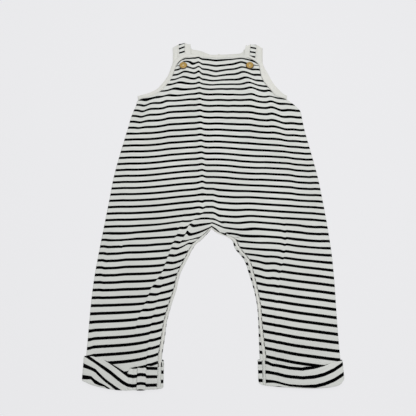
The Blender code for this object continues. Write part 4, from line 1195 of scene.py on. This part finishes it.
def cuff(node, side, table, stripes, seam, tucks, pleat=None):
    """Turned-up cuff: the leg's cloth folded over at the bottom, a flattened tube."""
    low_x, high_x = table[0].x, table[-1].x
    top_ys = [hem.top_y for hem in table]
    radius, turn = CUFF_TOP / 2, CUFF_FOLD / 2
    ring = cuff_ring(low_x, high_x, (*seam, *tucks, *(pleat or ())), radius)
    up, sideways = ring[:, 1], ring[:, 2]
    on_front = fade(up, CUFF_FRONT_FROM, 1.0)
    # from the top down, round the lower edge and up again inside: share, inset and rise
    path = [(share, 0.0, 0.0) for share in np.linspace(0.0, 1.0, 30)]
    path += [(1.0, turn * (1 - math.cos(a)), -turn * math.sin(a))
             for a in np.linspace(0, math.pi, 8)[1:]]
    path += [(1.0, CUFF_FOLD, rise) for rise in CUFF_INSIDE]
    points, uvs = [], []
    for share, inset, rise in path:
        x = ring[:, 0] + sideways * (radius - inset)
        top = lerp(CUFF_BACK_TOP_Y, np.interp(x, [hem.x for hem in table], top_ys), (up + 1) / 2)
        bottom = column(table, "x", "bottom_y", np.clip(x, low_x, high_x)) + turn
        y = lerp(top, bottom, share) + rise
        z = radius + up * (radius - inset)
        if inset < turn:
            middle = np.clip((x - low_x) / (high_x - low_x), 0.0, 1.0)
            z += on_front * CUFF_CROWN * np.sin(math.pi * middle) * math.sin(math.pi * share)
            past = fade(-side * (x - seam[0 if side > 0 else 1]), -CUFF_STEP, CUFF_STEP) * on_front
            z = lerp(z, np.minimum(z, CUFF_BACK_HEIGHT), past)
            z += on_front * cuff_relief(x, seam, tucks, pleat, 1.0 if share < 1 else 0.5)
        plain = (x > seam[0] - SEAM_MARGIN) & (x < seam[1] + SEAM_MARGIN)
        number = np.where(plain, 0.5, cuff_stripe(stripes, x, y))
        number = np.where(on_front > 0.0, number, (CUFF_BACK_TOP_Y - y) / PITCH)
        points.append(stack(x, y, z))
        uvs.append(stack(x / PITCH, number))
    piece = cloth_piece(node + "_cloth", [(np.array(points), np.array(uvs))], STRIPED_JERSEY,
                        node)


# ---------------------------------------------------------------- buttons

def circle_edges(bm, radius, y, z):
    made = bmesh.ops.create_circle(bm, segments=20 if radius < 2.0 else 64, radius=radius * MM,
                                   matrix=Matrix.Translation(Vector((0.0, y, z)) * MM))
    return list({edge for vertex in made["verts"] for edge in vertex.link_edges})


def on_hole(edge, y):
    """Whether an edge lies level on the rim of the hole at y."""
    away = [math.hypot(v.co.x, v.co.y - y * MM) - HOLE_RADIUS * MM for v in edge.verts]
    level = abs(edge.verts[0].co.z - edge.verts[1].co.z) < 1e-7
    return level and all(abs(distance) < 1e-6 for distance in away)


def turned_button(button):
    """Turned button with a raised rim, a groove, two holes and the thread through them."""
    under = (np.array([value]) for value in (button.x, button.y, BUTTON_ROW, BUTTON_SEAM))
    low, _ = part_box(button.node)
    foot = max(float(front_top(*under)[0]), low.z / MM - BUTTON_SINK)
    bm = bmesh.new()
    profile = [bm.verts.new((p.radius * MM, 0.0, p.height * MM)) for p in BUTTON_PROFILE]
    edges = [bm.edges.new(pair) for pair in zip(profile, profile[1:])]
    bmesh.ops.spin(bm, geom=profile + edges, cent=(0, 0, 0), axis=(0, 0, 1), angle=2 * math.pi,
                   steps=64, use_merge=True)
    dish = BUTTON_PROFILE[0]
    holes = (-HOLE_OFFSET, HOLE_OFFSET)
    for height in (dish.height, 0.0):
        rings = circle_edges(bm, dish.radius, 0.0, height)
        for y in holes:
            rings += circle_edges(bm, HOLE_RADIUS, y, height)
        bmesh.ops.triangle_fill(bm, use_beauty=True, edges=rings)
    for y in holes:
        bmesh.ops.bridge_loops(bm, edges=[edge for edge in bm.edges if on_hole(edge, y)])
    bmesh.ops.remove_doubles(bm, verts=bm.verts, dist=0.01 * MM)
    bmesh.ops.recalc_face_normals(bm, faces=bm.faces)
    bmesh.ops.translate(bm, verts=bm.verts, vec=Vector((button.x, button.y, foot)) * MM)
    wood = turned_wood(button.name + "_olive_wood", button)
    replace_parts(finished(button.name, bm, wood), button.node)

    bm = bmesh.new()
    for offset in (-THREAD_WIDTH, 0.0, THREAD_WIDTH):
        place = (button.x + offset, button.y, foot + dish.height + THREAD_LIFT)
        stitch_into(bm, place, (0.0, 1.0, 0.0), THREAD_LENGTH, THREAD_WIDTH, THREAD_HEIGHT)
    finished(button.name + "_thread", bm, THREAD)


# ---------------------------------------------------------------- floor, light, camera

def floor():
    bm = bmesh.new()
    bmesh.ops.create_grid(bm, x_segments=1, y_segments=1, size=FLOOR_HALF)
    bmesh.ops.translate(bm, verts=bm.verts, vec=(0, 0, -FLOOR_GAP))
    paper, _ = new_material("studio_paper", {
        "Roughness": 1.0, "Specular IOR Level": 0.0, "Base Color": linear(PAPER),
        "Emission Color": linear(PAPER_GLOW), "Emission Strength": 0.88})
    new_object("floor", bm, paper)


def lights():
    scene = bpy.context.scene
    scene.world = bpy.data.worlds.new("studio")
    scene.world.use_nodes = True
    background = scene.world.node_tree.nodes["Background"]
    background.inputs[0].default_value = (1.0, 1.0, 1.0, 1.0)
    background.inputs[1].default_value = 0.28
    data = bpy.data.lights.new("softbox", "AREA")
    data.shape = "RECTANGLE"
    data.size, data.size_y = 1.6, 1.2
    data.energy = 13.1
    lamp = bpy.data.objects.new("softbox", data)
    lamp.location = (0.12, 0.24, 1.05)
    towards = Vector((0, 0.05, 0)) - lamp.location
    lamp.rotation_euler = towards.to_track_quat("-Z", "Y").to_euler()
    scene.collection.objects.link(lamp)


def camera():
    """The photograph's view, steeply down from 0.67 m above the floor."""
    data = bpy.data.cameras.new("camera")
    data.sensor_width = SENSOR_WIDTH
    data.lens = SENSOR_WIDTH * FOCAL_PIXELS / PHOTO_PIXELS
    view = bpy.data.objects.new("camera", data)
    view.location = CAMERA_PLACE
    view.rotation_euler = (math.radians(90.0 - CAMERA_DOWN), 0.0, 0.0)
    bpy.context.scene.collection.objects.link(view)
    bpy.context.scene.camera = view


bpy.context.scene.view_settings.view_transform = "Standard"
camera()
back_panel()
front_panel()
front_binding()
inseam_band()
strap("strap_left", LEFT_STRIPS, -1)
strap("strap_right", RIGHT_STRIPS, 1)
armhole_binding("armhole_binding_left", BACK_LEFT_ARMHOLE, LEFT_STRIPS)
armhole_binding("armhole_binding_right", BACK_RIGHT_ARMHOLE, RIGHT_STRIPS)
neck_binding()
cuff("cuff_left", -1, LEFT_CUFF, LEFT_CUFF_STRIPES, LEFT_CUFF_SEAM, LEFT_CUFF_TUCKS, CUFF_PLEAT)
cuff("cuff_right", 1, RIGHT_CUFF, RIGHT_CUFF_STRIPES, RIGHT_CUFF_SEAM, RIGHT_CUFF_TUCKS)
for button in BUTTONS:
    turned_button(button)
floor()
lights()
